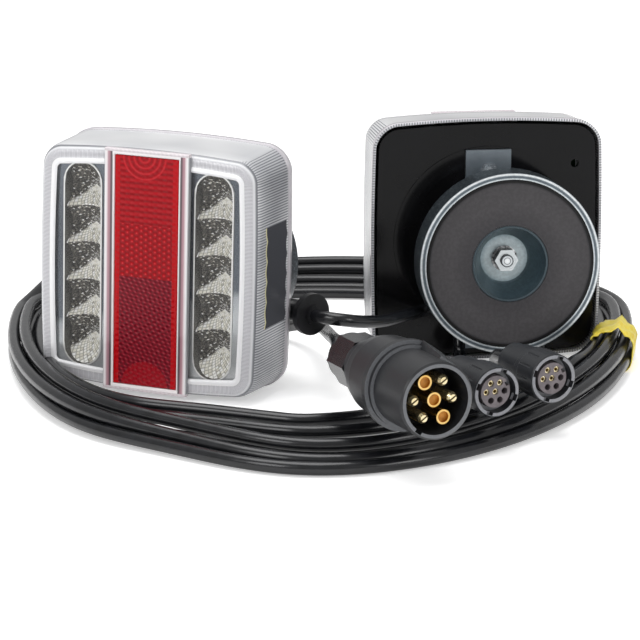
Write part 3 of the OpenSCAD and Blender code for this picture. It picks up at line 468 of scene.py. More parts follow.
# Red reflectors: a prismatic acrylic panel welded into the bar's pocket, with rings at its top, rows and
# hexagonal prisms below them, fine slanting lines in its lower half and a half disc at its foot.
def red_acrylic():
    """Red acrylic whose moulded prisms show as lighter and darker marks"""
    made, tree, shader = new_material("prismatic red acrylic", "#c4101f", Roughness=0.18, IOR=1.49,
                                      Specular_IOR_Level=0.2)
    uv = add(tree, "UVMap", uv_map="flat")
    flat = add(tree, "SeparateXYZ", links={0: uv}, out=None)
    top_z, foot_z = MID_Z + RED_H / 2, MID_Z - RED_H / 2

    def prism_wave(*runs):
        """Cosine across the panel, or a sum of them, each with its direction and pitch in millimetres"""
        total = None
        for x, z, pitch in runs:
            turn = 2 * math.pi / pitch
            along = add(tree, "VectorMath", values={1: (x * turn, z * turn, 0)}, links={0: uv}, out="Value",
                        operation="DOT_PRODUCT")
            wave = add(tree, "Math", links={0: along}, operation="COSINE")
            total = add(tree, "Math", links={0: total, 1: wave}, operation="ADD") if total else wave
        return total

    def prism_tone(wave, low, high, stops):
        """Colours of a pattern from its grooves to its crests"""
        span = add(tree, "MapRange", values={"From Min": low, "From Max": high}, links={"Value": wave})
        return add(tree, "ValToRGB", links={"Fac": span}, stops=stops)

    honeycomb = prism_wave((1, 0, 2.3), (0.5, 0.866, 2.3), (-0.5, 0.866, 2.3))
    prisms = prism_tone(honeycomb, -1.5, 3.0, [(0.0, "#8d0a14"), (0.45, "#a80d18"), (0.8, "#bd1520"),
                                               (1.0, "#cf3236")])
    rows = prism_tone(prism_wave((0, 1, 2.6)), -1.0, 1.0, [(0.0, "#8d0b15"), (0.5, "#a80d18"),
                                                           (1.0, "#b5141f")])
    slant = prism_wave((0.88, 0.47, 2.1), (0.2, 0.98, 1.7))
    lines = prism_tone(slant, -2.0, 2.0, [(0.0, "#5e0d1c"), (0.5, "#7d1222"), (0.85, "#95202f"),
                                          (1.0, "#ad3a47")])
    from_top, from_foot = [add(tree, "VectorMath", values={1: (x, z, 0)}, links={0: uv}, out="Value",
                               operation="DISTANCE") for x, z in ((-1.0, top_z), (0, foot_z))]
    ring = add(tree, "Math", values={1: 2 * math.pi / 2.6}, links={0: from_top}, operation="MULTIPLY")
    ring = add(tree, "Math", links={0: ring}, operation="COSINE")
    rings = prism_tone(ring, -1.0, 1.0, [(0.0, "#960b16"), (0.6, "#ac0f1a"), (1.0, "#c4222b")])
    foot = add(tree, "Mix", values={"Factor": 0.6, "B": paint("#ab0f1c")}, links={"A": lines}, out="Result",
               data_type="RGBA")
    tone = lines
    for layer, along, low, high in ((prisms, flat["Y"], MID_Z - 2.5, MID_Z + 22),
                                    (rows, flat["Y"], MID_Z + 22, top_z + 5),
                                    (rings, from_top, -1.0, 11.0),
                                    (foot, from_foot, -1.0, 11.5)):
        tone = add(tree, "Mix", links={"Factor": between(tree, along, low, high), "A": tone, "B": layer},
                   out="Result", data_type="RGBA")
    border = add(tree, "Math", links={0: flat["X"]}, operation="ABSOLUTE")
    border = add(tree, "Math", values={1: RED_W / 2 - 2.6}, links={0: border}, operation="GREATER_THAN")
    tone = add(tree, "Mix", values={"B": paint("#bb0c16")}, links={"Factor": border, "A": tone},
               out="Result", data_type="RGBA")
    relief = add(tree, "Bump", values={"Strength": 0.25, "Distance": 0.4 * MM}, links={"Height": honeycomb})
    feed(shader, Base_Color=tone, Normal=relief)
    return made


red = red_acrylic()
for side in LAMPS:
    mesh = bmesh.new()
    bmesh.ops.create_cube(mesh, size=1)
    for v in mesh.verts:
        v.co = (v.co.x * RED_W, FRONT - BAR_RISE + 0.3 + (v.co.y + 0.5) * (RED_T - 0.3),
                MID_Z + v.co.z * RED_H)
    bmesh.ops.bevel(mesh, geom=mesh.edges[:], offset=0.5, offset_type="OFFSET", segments=2, profile=0.5,
                    affect="EDGES", material=-1)
    flat_map(mesh)
    bmesh.ops.translate(mesh, verts=mesh.verts, vec=(BAR_X, 0, 0))
    set_in_place(mesh, side)
    piece(side + "_reflector_panel", mesh, "red_reflector", red, replaces=[side + "_reflector"],
          smooth=False)

# Reflector trays: metallised ABS, one under each clear window. A bezel with a bright raised lip frames the
# chamber, and five faceted parabolic cups stand in a column behind it.
CHAMBER_X, CHAMBER_W, CHAMBER_H = 32.6, 17.8, 95
LIGHTS, PITCH, CUP_DEPTH, CUP_HOLE = 5, 17.5, 13.5, 3.2
CUP_RIM = math.hypot(CHAMBER_W / 2, PITCH / 2)
CHAMBER_HALF = (CHAMBER_H - CHAMBER_W) / 2
BEZEL_FRONT, BEZEL_INSET, BEZEL_R = FRONT + 2.1, 6.8, 5.2
TRAY_STEPS, CUP_COLUMNS, CUP_ROWS = 160, 30, 150
FARTHEST, HALVINGS = 90, 24


def slot_ring(extra, y):
    """Chamber outline, grown by extra, as rays from the chamber's middle"""
    r = CHAMBER_W / 2 + extra
    places = []
    for i in range(TRAY_STEPS):
        a = 2 * math.pi * i / TRAY_STEPS
        c, s = math.cos(a), math.sin(a)
        reach = r / abs(c) if abs(c) > 1e-6 else 1e9
        if reach * abs(s) > CHAMBER_HALF:
            b = CHAMBER_HALF * abs(s)
            reach = b + math.sqrt(b * b - CHAMBER_HALF ** 2 + r * r)
        places.append((reach * c, y, MID_Z + reach * s))
    return places


def in_bezel(x, z):
    """Whether a point lies in the lamp's bowed outline, inside the frame"""
    hw, hh = LAMP_W / 2 - BEZEL_INSET, LAMP_H / 2 - BEZEL_INSET
    x, z = abs(x), abs(z)
    w, h = hw - BOW_X * (z / hh) ** 2, hh - BOW_Z * (x / hw) ** 2
    at_corner = x >= w - BEZEL_R and z >= h - BEZEL_R
    return x < w and z < h and (not at_corner or math.hypot(x - w + BEZEL_R, z - h + BEZEL_R) < BEZEL_R)


def bezel_ring(chamber, y):
    """Bezel outline as rays from the chamber's middle, found by halving and cut off by the bar"""
    places = []
    for i in range(TRAY_STEPS):
        a = 2 * math.pi * i / TRAY_STEPS
        low, high = 0, FARTHEST
        for halving in range(HALVINGS):
            mid = (low + high) / 2
            x, z = chamber + mid * math.cos(a), mid * math.sin(a)
            if in_bezel(x, z) and abs(x) > BAR_W / 2 + 0.2 and x * chamber > 0:
                low = mid
            else:
                high = mid
        places.append((low * math.cos(a), y, MID_Z + low * math.sin(a)))
    return places


def nearest_light(z):
    """Number of the light nearest to a height above the tray's middle"""
    return min(max(round(z / PITCH), -(LIGHTS // 2)), LIGHTS // 2)


def tray_mesh(chamber):
    """Bezel, lip, chamber wall and the column of cups; a UV map holds angle and reach from each light"""
    mesh = bmesh.new()
    cup_uv = mesh.loops.layers.uv.new("cup")
    ring = closed_ring(mesh, bezel_ring(chamber, BEZEL_FRONT))
    for extra, y, part in ((0.9, BEZEL_FRONT, 0), (0.8, BEZEL_FRONT - 0.7, 1), (0.1, BEZEL_FRONT - 0.7, 1),
                           (0, BEZEL_FRONT + CUP_DEPTH + 1, 2)):
        ring = drawn_out(mesh, ring, slot_ring(extra, y), part)
    framing = set(mesh.faces)
    for v in bmesh.ops.create_grid(mesh, x_segments=CUP_COLUMNS, y_segments=CUP_ROWS, size=0.5)["verts"]:
        z = v.co.y * CHAMBER_H
        past = max(abs(z) - CHAMBER_HALF, 0)
        x = 2 * v.co.x * math.sqrt(max((CHAMBER_W / 2) ** 2 - past ** 2, 0.01))
        reach = x * x + (z - nearest_light(z) * PITCH) ** 2
        share = (reach - CUP_HOLE ** 2) / (CUP_RIM ** 2 - CUP_HOLE ** 2)
        v.co = (x, BEZEL_FRONT + 0.9 + CUP_DEPTH * min(max(1 - share, 0), 1), MID_Z + z)
    for face in mesh.faces:
        if face in framing:
            continue
        face.material_index = 3
        middle_z = MID_Z + PITCH * nearest_light(face.calc_center_median().z - MID_Z)
        angles = [math.atan2(loop.vert.co.x, middle_z - loop.vert.co.z) for loop in face.loops]
        wraps = max(angles) - min(angles) > math.pi
        for loop, angle in zip(face.loops, angles):
            angle = angle + 2 * math.pi if wraps and angle < 0 else angle
            loop[cup_uv].uv = (angle, math.hypot(loop.vert.co.x, loop.vert.co.z - middle_z))
    bmesh.ops.translate(mesh, verts=mesh.verts, vec=(chamber, 0, 0))
    return mesh


def bezel_metal():
    """Metallised bezel with a painted reflection: dark above, as of a dark room, and pale below, as of a
    pale floor
    """
    made, tree, shader = new_material("metallised ABS bezel", "#59616a", Metallic=0.35, Roughness=0.18)
    flat = add(tree, "SeparateXYZ", links={0: add(tree, "UVMap", uv_map="flat")}, out=None)
    height = add(tree, "Math", values={1: -0.25}, links={0: flat["X"], 2: flat["Y"]},
                 operation="MULTIPLY_ADD")
    height = add(tree, "Math", values={1: 1 / LAMP_H}, links={0: height}, operation="MULTIPLY")
    tone = add(tree, "ValToRGB", links={"Fac": height},
               stops=[(0.0, "#d3d6d8"), (0.26, "#c3c7ca"), (0.34, "#a4a9ae"), (0.37, "#545c66"),
                      (0.7, "#434b56"), (1.0, "#6b727c")])
    feed(shader, Base_Color=tone)
    return made


def cup_metal():
    """Faceted mirror of the cups with painted reflections: bright below each light, where it faces up, and
    dark above it with painted glints. A little painted glow stands for the daylight that the clear walls let
    in behind the bezel."""
    made, tree, shader = new_material("faceted metallised ABS", "#d8d6cd", Metallic=0.08, Roughness=0.18,
                                      Emission_Strength=0.22)
    cup = add(tree, "SeparateXYZ", links={0: add(tree, "UVMap", uv_map="cup")}, out=None)
    spin = add(tree, "Math", values={1: 5.2}, links={0: cup["X"]}, operation="MULTIPLY")
    reach = add(tree, "Math", values={1: 0.62}, links={0: cup["Y"]}, operation="MULTIPLY")
    one, two = [add(tree, "Math", links={0: spin, 1: reach}, operation=way) for way in ("ADD", "SUBTRACT")]
    weave = add(tree, "CombineXYZ", links={"X": one, "Y": two})
    facet = add(tree, "TexVoronoi", values={"Scale": 1.0, "Randomness": 0.12}, links={"Vector": weave},
                out=None, voronoi_dimensions="2D", distance="CHEBYCHEV")
    chance = add(tree, "SeparateXYZ", links={0: facet["Color"]})
    # Painted reflection of light from above on the facets below each light, each facet a random tone
    bright = add(tree, "ValToRGB", links={"Fac": chance},
                 stops=[(0.0, "#bab7ab"), (0.2, "#e9e6da"), (0.5, "#fffdf4"), (1.0, "#ffffff")])
    joint = add(tree, "ValToRGB", links={"Fac": facet["Distance"]},
                stops=[(0.32, "#ffffff"), (0.5, "#85827a")])
    bright = add(tree, "Mix", values={"Factor": 0.85}, links={"A": bright, "B": joint}, out="Result",
                 data_type="RGBA", blend_type="MULTIPLY")
    # Painted glints, bright points on the dark upper part
    specks = add(tree, "TexVoronoi", values={"Scale": 2.1, "Randomness": 0.9}, links={"Vector": weave},
                 out="Color", voronoi_dimensions="2D")
    chance = add(tree, "SeparateXYZ", links={0: specks}, out="Y")
    dark = add(tree, "ValToRGB", links={"Fac": chance},
               stops=[(0.0, "#2e2c29"), (0.4, "#47443f"), (0.72, "#716d64"), (0.86, "#cfccc2"),
                      (0.93, "#ffffff")])
    dark.node.color_ramp.interpolation = "CONSTANT"
    # Where the painted bright reflection takes over from the dark, by the angle round the light
    under = add(tree, "Math", links={0: cup["X"]}, operation="ABSOLUTE")
    under = add(tree, "MapRange", values={"From Min": 0.95, "From Max": 0.8}, links={"Value": under},
                interpolation_type="SMOOTHSTEP")
    tone = add(tree, "Mix", links={"Factor": under, "A": dark, "B": bright}, out="Result", data_type="RGBA")
    relief = add(tree, "Bump", values={"Strength": 0.3, "Distance": 0.6 * MM},
                 links={"Height": facet["Distance"]})
    feed(shader, Base_Color=tone, Emission_Color=tone, Normal=relief)
    return made


bezel, cups = bezel_metal(), cup_metal()
# Painted shade: the chamber's metallised wall, deep behind the bezel, is dark
chamber_wall = new_material("metallised chamber wall", "#46443f", Metallic=0.4, Roughness=0.25)[0]
lip_bright = new_material("metallised lip", "#f7f7f5", Metallic=0.2, Roughness=0.15)[0]
for side in LAMPS:
    for name, chamber in (("outer", -CHAMBER_X), ("inner", CHAMBER_X)):
        mesh = tray_mesh(chamber)
        flat_map(mesh)
        set_in_place(mesh, side)
        piece(f"{side}_{name}_cups", mesh, "chromed_tray", bezel, lip_bright, chamber_wall, cups,
              replaces=[f"{side}_{name}_tray"], smooth=False)


# Back shells, circuit boards and lights: a moulded ABS shell closes each lamp and holds its board, which
# carries the lights that shine through the cups and, in the left lamp, those of the number-plate window.
# The solids have their true form and take a real finish here.
def finish_nodes(material, *names):
    """Gives CAD nodes a finished material"""
    for name in names:
        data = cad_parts[name].data
        data.materials.clear()
        data.materials.append(material)


def marked(name, code, light, dark, grain, depth, **values):
    """Material with a fine grain of two tones, whose size and depth are in millimetres"""
    made, tree, shader = new_material(name, code, **values)
    noise = grain_of(tree, grain, 4)
    tone = add(tree, "ValToRGB", links={"Fac": noise}, stops=[(0.3, dark), (0.7, light)])
    relief = add(tree, "Bump", values={"Strength": 0.3, "Distance": depth * MM}, links={"Height": noise})
    feed(shader, Base_Color=tone, Normal=relief)
    return made


# Polished mould: an almost even gloss black. The boards are matt green lacquer, the lights clear cast
# epoxy and the strip behind the number-plate window dark smoked acrylic.
gloss_black = marked("gloss black ABS", "#0f0f11", "#121214", "#0b0b0c", 40, 0.02, Roughness=0.12, IOR=1.52,
                     Specular_IOR_Level=0.16)
finish_nodes(gloss_black, "left_base", "right_base")
board = marked("green solder resist", "#1c4a2a", "#22562f", "#163d22", 6, 0.02, Roughness=0.4)
finish_nodes(board, "left_circuit_board", "right_circuit_board")
epoxy = marked("clear epoxy light", "#9a9b98", "#b4b5b1", "#7d7e7b", 2, 0.02, Roughness=0.1)
finish_nodes(epoxy, "left_lights", "right_lights", "left_plate_lights")
smoked = marked("smoked acrylic", "#3c3d41", "#424347", "#36373b", 8, 0.01, Roughness=0.2)
finish_nodes(smoked, "left_plate_window")

# Brackets and fasteners: a folded steel strip is bolted to each shell with studs and nuts and carries the
# magnet. All have a zinc plate, brighter and more mottled on the turned parts than on the rolled strip.
zinc = marked("bright zinc plate", "#aab0b6", "#c9ced2", "#7c8288", 2, 0.05, Metallic=0.8, Roughness=0.25)
finish_nodes(zinc, "bracket_studs", "bracket_nuts", "board_screws")
strip = marked("zinc plated strip", "#7b848b", "#858e95", "#6f777e", 14, 0.02, Metallic=0.5, Roughness=0.3)
finish_nodes(strip, "left_bracket", "right_bracket")

# Magnets: a ring of ground ferrite in a pressed steel cup, with a thin gap round it painted black as shade,
# and a dished plate that draws both down on the bracket. The cup's rim has painted highlights at both its
# edges.
MAGNET_X, MAGNET_Z = 5, 53
MAGNET_AXES = {side: (place @ Vector((MAGNET_X, 0, MAGNET_Z)) * MM,
                      (place.to_3x3() @ Vector((0, 1, 0))).normalized()) for side, place in LAMPS.items()}


def off_axis(tree, centre, axis):
    """Distance from an axis in metres"""
    where = add(tree, "TexCoord", out="Object")
    away = add(tree, "VectorMath", values={1: centre}, links={0: where}, operation="SUBTRACT")
    across = add(tree, "VectorMath", values={1: axis}, links={0: away}, operation="CROSS_PRODUCT")
    return add(tree, "VectorMath", links={0: across}, out="Value", operation="LENGTH")


def faces_along(tree, axis):
    """One on faces that look along an axis"""
    normal = add(tree, "NewGeometry", out="Normal")
    along = add(tree, "VectorMath", values={1: axis}, links={0: normal}, out="Value",
                operation="DOT_PRODUCT")
    along = add(tree, "Math", links={0: along}, operation="ABSOLUTE")
    return add(tree, "Math", values={1: 0.8}, links={0: along}, operation="GREATER_THAN")


def banded(name, side, low, high, stops, **values):
    """Material whose colour changes with the distance in millimetres from a magnet's axis"""
    made, tree, shader = new_material(name, "#808080", **values)
    span = add(tree, "MapRange", values={"From Min": low * MM, "From Max": high * MM},
               links={"Value": off_axis(tree, *MAGNET_AXES[side])})
    bands = add(tree, "ValToRGB", links={"Fac": span}, stops=stops)
    speck = add(tree, "ValToRGB", links={"Fac": grain_of(tree, 1.43, 3)},
                stops=[(0.42, "#c8c8c8"), (0.6, "#ffffff")])
    tone = add(tree, "Mix", values={"Factor": 0.35}, links={"A": bands, "B": speck}, out="Result",
               data_type="RGBA", blend_type="MULTIPLY")
    feed(shader, Base_Color=tone)
    return made, tree, shader, tone


for side in LAMPS:
    # Pressed zinc cup: painted highlights at both edges of its rim, darker between them, and painted shade,
    # a dark speckled blue-grey, on its side
    cup_zinc, tree, shader, painted_rim_highlights = banded(
        side + " pressed zinc cup", side, 40.5, 43.4,
        [(0.0, "#dfe5e8"), (0.18, "#bcc5ca"), (0.3, "#525c64"), (0.6, "#6c767d"), (0.72, "#dde3e6"),
         (0.9, "#eef1f2"), (1.0, "#8d979d")], Metallic=0.55, Roughness=0.28)
    # Painted shade on the side of the cup
    painted_side_tone = add(tree, "ValToRGB", links={"Fac": grain_of(tree, 0.91, 2)},
                    stops=[(0.35, "#2a3035"), (0.55, "#424a50"), (0.72, "#8a9297")])
    feed(shader, Base_Color=add(tree, "Mix", links={"Factor": faces_along(tree, MAGNET_AXES[side][1]),
                                                    "A": painted_side_tone, "B": painted_rim_highlights},
                                out="Result", data_type="RGBA"))
    finish_nodes(cup_zinc, side + "_magnet_cup")
    # Ground ferrite: a matt warm grey disc that ends in painted black shade for the gap round it
    ferrite = banded(side + " ground ferrite", side, 17.5, 40.2,
                     [(0.0, "#2b3134"), (0.06, "#424043"), (0.5, "#4e4c4e"), (0.9, "#494749"),
                      (0.935, "#353437"), (0.95, "#060607"), (1.0, "#040405")],
                     Roughness=0.45, Specular_IOR_Level=0.3)[0]
    finish_nodes(ferrite, side + "_magnet_ring")
    # Dished zinc plate: painted light and shade, a pale flat floor and a dark slope round it
    dish_zinc = banded(side + " dished zinc plate", side, 0.0, 18.6,
                       [(0.0, "#c3cfd2"), (0.5, "#b4c1c5"), (0.6, "#8fa0a6"), (0.66, "#5b6e76"),
                        (0.85, "#4c5f68"), (0.96, "#3d4b52"), (1.0, "#2f363a")],
                       Metallic=0.45, Roughness=0.3)[0]
    finish_nodes(dish_zinc, side + "_magnet_dish")

# Magnet fasteners: the rolled end of a zinc plated stud, with painted rings of light and shade for its
# thread, a hexagon nut with painted shade on the flats round its painted bright face, and a lock washer
# below it whose teeth show as painted glints and shade
STUD_R = 3.0
thread_zinc, tree, shader = new_material("rolled zinc thread", "#b9bfc3", Metallic=0.6, Roughness=0.25)
reaches = [off_axis(tree, centre, axis) for centre, axis in MAGNET_AXES.values()]
reach = add(tree, "Math", links={0: reaches[0], 1: reaches[1]}, operation="MINIMUM")
reach = add(tree, "MapRange", values={"From Max": STUD_R * MM}, links={"Value": reach})
# Painted light and shade: pale and dark rings for the thread on the stud's end
tone = add(tree, "ValToRGB", links={"Fac": reach},
           stops=[(0.0, "#f4f6f7"), (0.42, "#dfe3e5"), (0.52, "#3b4045"), (0.64, "#e3e6e8"),
                  (0.8, "#b4babe"), (0.9, "#2a2e32"), (1.0, "#1e2124")])
feed(shader, Base_Color=tone)
finish_nodes(thread_zinc, "magnet_bolts")
nut_zinc, tree, shader = new_material("zinc plated hexagon nut", "#c5cace", Metallic=0.6, Roughness=0.25)
# Painted shade on the nut's flats, and a painted highlight on its face
tone = add(tree, "Mix", values={"A": paint("#33383c"), "B": paint("#cfd4d6")},
           links={"Factor": faces_along(tree, MAGNET_AXES["right"][1])}, out="Result", data_type="RGBA")
feed(shader, Base_Color=tone)
finish_nodes(nut_zinc, "magnet_nuts")
# Painted glints and shade: near-white and near-black specks for the washer's teeth
lock_zinc = marked("toothed zinc washer", "#6b7176", "#f1f3f4", "#0c0e10", 1.3, 0.2, Metallic=0.6,
                   Roughness=0.25)
finish_nodes(lock_zinc, "magnet_washers")

# Grommets where the leads enter the lamps, and the plug's cable seal: black rubber, moulded. It is satin,
# with a soft broad highlight and a faint grain.
rubber = marked("black moulded rubber", "#1a1a1c", "#1d1d20", "#121214", 4, 0.05, Roughness=0.36,
                Specular_IOR_Level=0.4)
finish_nodes(rubber, "left_side_boot", "left_rear_boot", "right_rear_boot", "plug_gland_seal")

# Plug: a round seven-pin plug, moulded in black polyamide with a gland nut at its back. Its contacts are
# turned brass in a black carrier. They sit a little nearer to the mouth than the solids have them, and
# are turned to the photo's angle; the three tubes show the brass in their bores.
PLUG_PLACE = Matrix.Translation((45, -194.5, 36)) @ Matrix.Rotation(math.radians(24.5), 4, "Z")
CORE_FORWARD, CORE_TURN = 2.6, 16
BORE_CIRCLE, BORE_R, BORE_DEPTH, BORE_FIRST = 8.8, 2.36, 7.2, 15


def edge_lit(name, axis, body, mouth, **values):
    """Etched material with a painted highlight: a paler face where it looks along an axis"""
    made, tree, shader = new_material(name, body, **values)
    grain = grain_of(tree, 1.11, 3)
    etched = add(tree, "ValToRGB", links={"Fac": grain}, stops=[(0.3, "#d0d0d0"), (0.7, "#ffffff")])
    # Painted highlight on the faces that look along the axis
    tone = add(tree, "Mix", values={"A": paint(body), "B": paint(mouth)},
               links={"Factor": faces_along(tree, axis)}, out="Result", data_type="RGBA")
    tone = add(tree, "Mix", values={"Factor": 0.5}, links={"A": tone, "B": etched}, out="Result",
               data_type="RGBA", blend_type="MULTIPLY")
    relief = add(tree, "Bump", values={"Strength": 0.2, "Distance": 0.04 * MM}, links={"Height": grain})
    feed(shader, Base_Color=tone, Normal=relief)
    return made


# Polyamide: satin where the mould was etched, glossier on the nut, matt and dark deep in the plug
# The front faces of the nose and body carry a painted highlight
satin_black = edge_lit("satin black polyamide", PLUG_PLACE.to_3x3() @ Vector((0, -1, 0)), "#232427",
                       "#707276", Roughness=0.38)
finish_nodes(satin_black, "plug_nose", "plug_body")
gloss_nut = marked("moulded black polyamide", "#1f2022", "#232427", "#191a1c", 8, 0.02, Roughness=0.22)
finish_nodes(gloss_nut, "plug_gland_nut")
inner_black = marked("matt black polyamide", "#0b0b0c", "#101011", "#070708", 2, 0.03, Roughness=0.5,
                     Specular_IOR_Level=0.25)
# Turned brass: a warm mirror on the tubes, paler with its nickel wash on the pins, and a darker orange in
# the bores, painted shade
brass = marked("turned brass", "#dcb46c", "#e8c684", "#cda357", 5, 0.01, Metallic=1.0, Roughness=0.2)
pale_brass = marked("nickel washed brass", "#efe0b4", "#f6e9c2", "#dfcd9c", 5, 0.01, Metallic=0.9,
                    Roughness=0.22)
bore_brass = marked("brass in a shaded bore", "#c07c26", "#cf8d35", "#a4661b", 3, 0.01, Metallic=0.3,
                    Roughness=0.4)
core_place = (PLUG_PLACE @ Matrix.Translation((0, -CORE_FORWARD, 0))
              @ Matrix.Rotation(math.radians(CORE_TURN), 4, "Y"))
core_shift = TO_METRES @ core_place @ PLUG_PLACE.inverted() @ TO_METRES.inverted()
plug_pieces = [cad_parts[name] for name in ("plug_nose", "plug_body", "plug_gland_nut",
                                                 "plug_gland_seal")]
for name, slot, finish in (("plug_carrier", "black_plastic", inner_black),
                           ("plug_pins", "brass_contact", pale_brass),
                           ("plug_tubes", "brass_contact", brass)):
    mesh = bmesh.new()
    mesh.from_mesh(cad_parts[name].data)
    mesh.transform(core_shift)
    plug_pieces.append(piece(name + "_turned", mesh, slot, finish, replaces=[name], smooth=False))
# Brass discs deep in the three tubes, in the painted shade of the bores
mesh = bmesh.new()
for reach, spot in ((0, 0), (BORE_CIRCLE, 2), (BORE_CIRCLE, 5)):
    a = math.radians(spot * 60 + BORE_FIRST)
    bmesh.ops.create_circle(mesh, cap_ends=True, radius=BORE_R, segments=24,
                            matrix=Matrix.Translation((reach * math.cos(a), BORE_DEPTH, reach * math.sin(a)))
                            @ Matrix.Rotation(math.pi / 2, 4, "X"))
mesh.transform(TO_METRES @ core_place)
plug_pieces.append(piece("plug_bores", mesh, "brass_contact", bore_brass, smooth=False))

# Bayonet couplings: moulded in slate polyamide, each a barrel with a turning ring at its mouth and a cap
# over its cable end. A silicone insert in the barrel holds the contacts.
COUPLING_AXIS = Vector((0.422618, -0.906308, 0))
# Polyamide: satin, with a painted highlight on its paler mouth, and a finer, even grain on the caps. The
# silicone is matt.
slate = edge_lit("satin slate polyamide", COUPLING_AXIS, "#25272b", "#94959a", Roughness=0.34)
cap_slate = marked("etched slate polyamide", "#25272b", "#2a2c30", "#1e2023", 1.5, 0.03, Roughness=0.36)
insert = marked("pinkish grey silicone", "#736b6e", "#7b7376", "#665f62", 3, 0.02, Roughness=0.5)
for letter in "ab":
    finish_nodes(slate, f"coupling_{letter}_barrel", f"coupling_{letter}_ring")
    finish_nodes(cap_slate, f"coupling_{letter}_cap")
    finish_nodes(insert, f"coupling_{letter}_insert")
    finish_nodes(pale_brass, f"coupling_{letter}_contacts")

# Cables: three flexible leads with a round black PVC sheath, laid in one egg-shaped coil. The main lead
# runs from the plug five times round to the left lamp, and two link leads go round once, each from a
# lamp to its coupling.
CABLE_D = 6
COIL_MID = (-1.2, 77)
COIL_HALF_W, COIL_NEAR, COIL_FAR, COIL_LEAN = 154.2, 262, 121, 9.2
FLAT_AT, FLAT_SPAN, FLAT_DEPTH = 247, 17, 14


def coil_point(t):
    """Outer edge of the coil at an angle in degrees; it runs straighter at the near left"""
    s, c = math.sin(math.radians(t)), math.cos(math.radians(t))
    flat = FLAT_DEPTH * math.exp(-((t % 360 - FLAT_AT) / FLAT_SPAN) ** 2)
    return Vector((COIL_MID[0] + COIL_HALF_W * c - COIL_LEAN * min(s, 0) ** 2,
                   COIL_MID[1] + (COIL_FAR if s > 0 else COIL_NEAR) * s + flat))


def coil_inward(t):
    """Direction from the coil's edge towards its inside"""
    run = (coil_point(t + 1) - coil_point(t - 1)).normalized()
    return Vector((-run.y, run.x))


# Inward distance and height of the seven strands in the four cross-sections that shape the bundle
FAR_STACK = [(3.5, 3.05), (3.5, 12.2), (12.5, 9.4), (16, 3.05), (25, 6), (43, 3.05), (33.5, 3.6)]
LEFT_STACK = [(0.6, 6.1), (0.6, 12.1), (5.8, 15.1), (5.8, 3.1), (5.8, 9.1), (10.9, 6.1), (10.9, 12.1)]
NEAR_STACK = [(3.4, 3.05), (11.5, 4), (20, 8.6), (30, 3.05), (40, 9.4), (63, 3.05), (56, 10.4)]
TIED_STACK = [(inward + 2.4, height) for inward, height in LEFT_STACK]
STACK_ANGLES = [50, 130, 190, 222, 258, 302, 336, 354, 410]
STACKS = [FAR_STACK, FAR_STACK, LEFT_STACK, LEFT_STACK, NEAR_STACK, NEAR_STACK, TIED_STACK, TIED_STACK,
          FAR_STACK]


def strand_place(strand, t):
    """Inward distance and height of a strand at an angle, with a slight sway of its own"""
    t = t % 360
    t = t + 360 if t < STACK_ANGLES[0] else t
    k = min(max(bisect.bisect_right(STACK_ANGLES, t), 1), len(STACKS) - 1)
    s = (t - STACK_ANGLES[k - 1]) / (STACK_ANGLES[k] - STACK_ANGLES[k - 1])
    s = s * s * (3 - 2 * s)
    before, after = STACKS[k - 1][strand], STACKS[k][strand]
    sway = 0.7 * math.sin(math.radians(4 * t) + 2.1 * strand)
    return [before[0] + (after[0] - before[0]) * s + sway, before[1] + (after[1] - before[1]) * s]


COIL_STEP = 5
TURN_ORDER = [1, 0, 2, 3, 4]
LAST_TURN = len(TURN_ORDER) - 1
TURN_END, SHIFT_SPAN = 150, 50


def main_strand(t):
    """The main lead works through five strands, one a turn, and shifts over at the far left"""
    turn = min(int((t - TURN_END) // 360), LAST_TURN)
    here = strand_place(TURN_ORDER[turn], t)
    ahead = t - (TURN_END + 360 * (turn + 1) - SHIFT_SPAN)
    if ahead > 0 and turn < LAST_TURN:
        s = ahead / SHIFT_SPAN
        share = s * s * (3 - 2 * s)
        there = strand_place(TURN_ORDER[turn + 1], t)
        here = [a + (b - a) * share for a, b in zip(here, there)]
    return here


# Each lead between the angles at which it joins and leaves the coil
turns = {
    "main": [[t, *main_strand(t)] for t in range(175, TURN_END + 5 * 360 + 1, COIL_STEP)],
    "link_a": [[t, *strand_place(6, t)] for t in range(320, -33, -COIL_STEP)],
    "link_b": [[t, *strand_place(5, t)] for t in range(330, -26, -COIL_STEP)]}

# Strands that come too close in one cross-section push each other apart until they only touch
GAP = CABLE_D + 0.1
ROUNDS, EASED_ROUNDS = 60, 50
for step in range(ROUNDS):
    sections = {}
    for points in turns.values():
        for point in points:
            sections.setdefault(point[0] % 360, []).append(point)
    for points in sections.values():
        for i, a in enumerate(points):
            for b in points[i + 1:]:
                apart = Vector((b[1] - a[1], b[2] - a[2]))
                if apart.length < GAP:
                    push = apart.normalized() * (GAP - apart.length) / 2 if apart.length else Vector((0, 3))
                    a[1], a[2], b[1], b[2] = a[1] - push.x, a[2] - push.y, b[1] + push.x, b[2] + push.y
    for points in turns.values():
        old = [list(p) for p in points]
        for i in range(1, len(points) - 1):
            if step < EASED_ROUNDS:
                for axis in (1, 2):
                    points[i][axis] = (old[i - 1][axis] + 6 * old[i][axis] + old[i + 1][axis]) / 8
            points[i][2] = max(points[i][2], CABLE_D / 2 + 0.05)


def coil_route(points):
    """Points in space of a strand's angles, inward distances and heights, kept well apart from each other"""
    route = []
    for t, inward, height in points:
        place = coil_point(t) + coil_inward(t) * inward
        if not route or (place - Vector(route[-1][:2])).length > CABLE_D + 2:
            route.append((place.x, place.y, height))
    return route


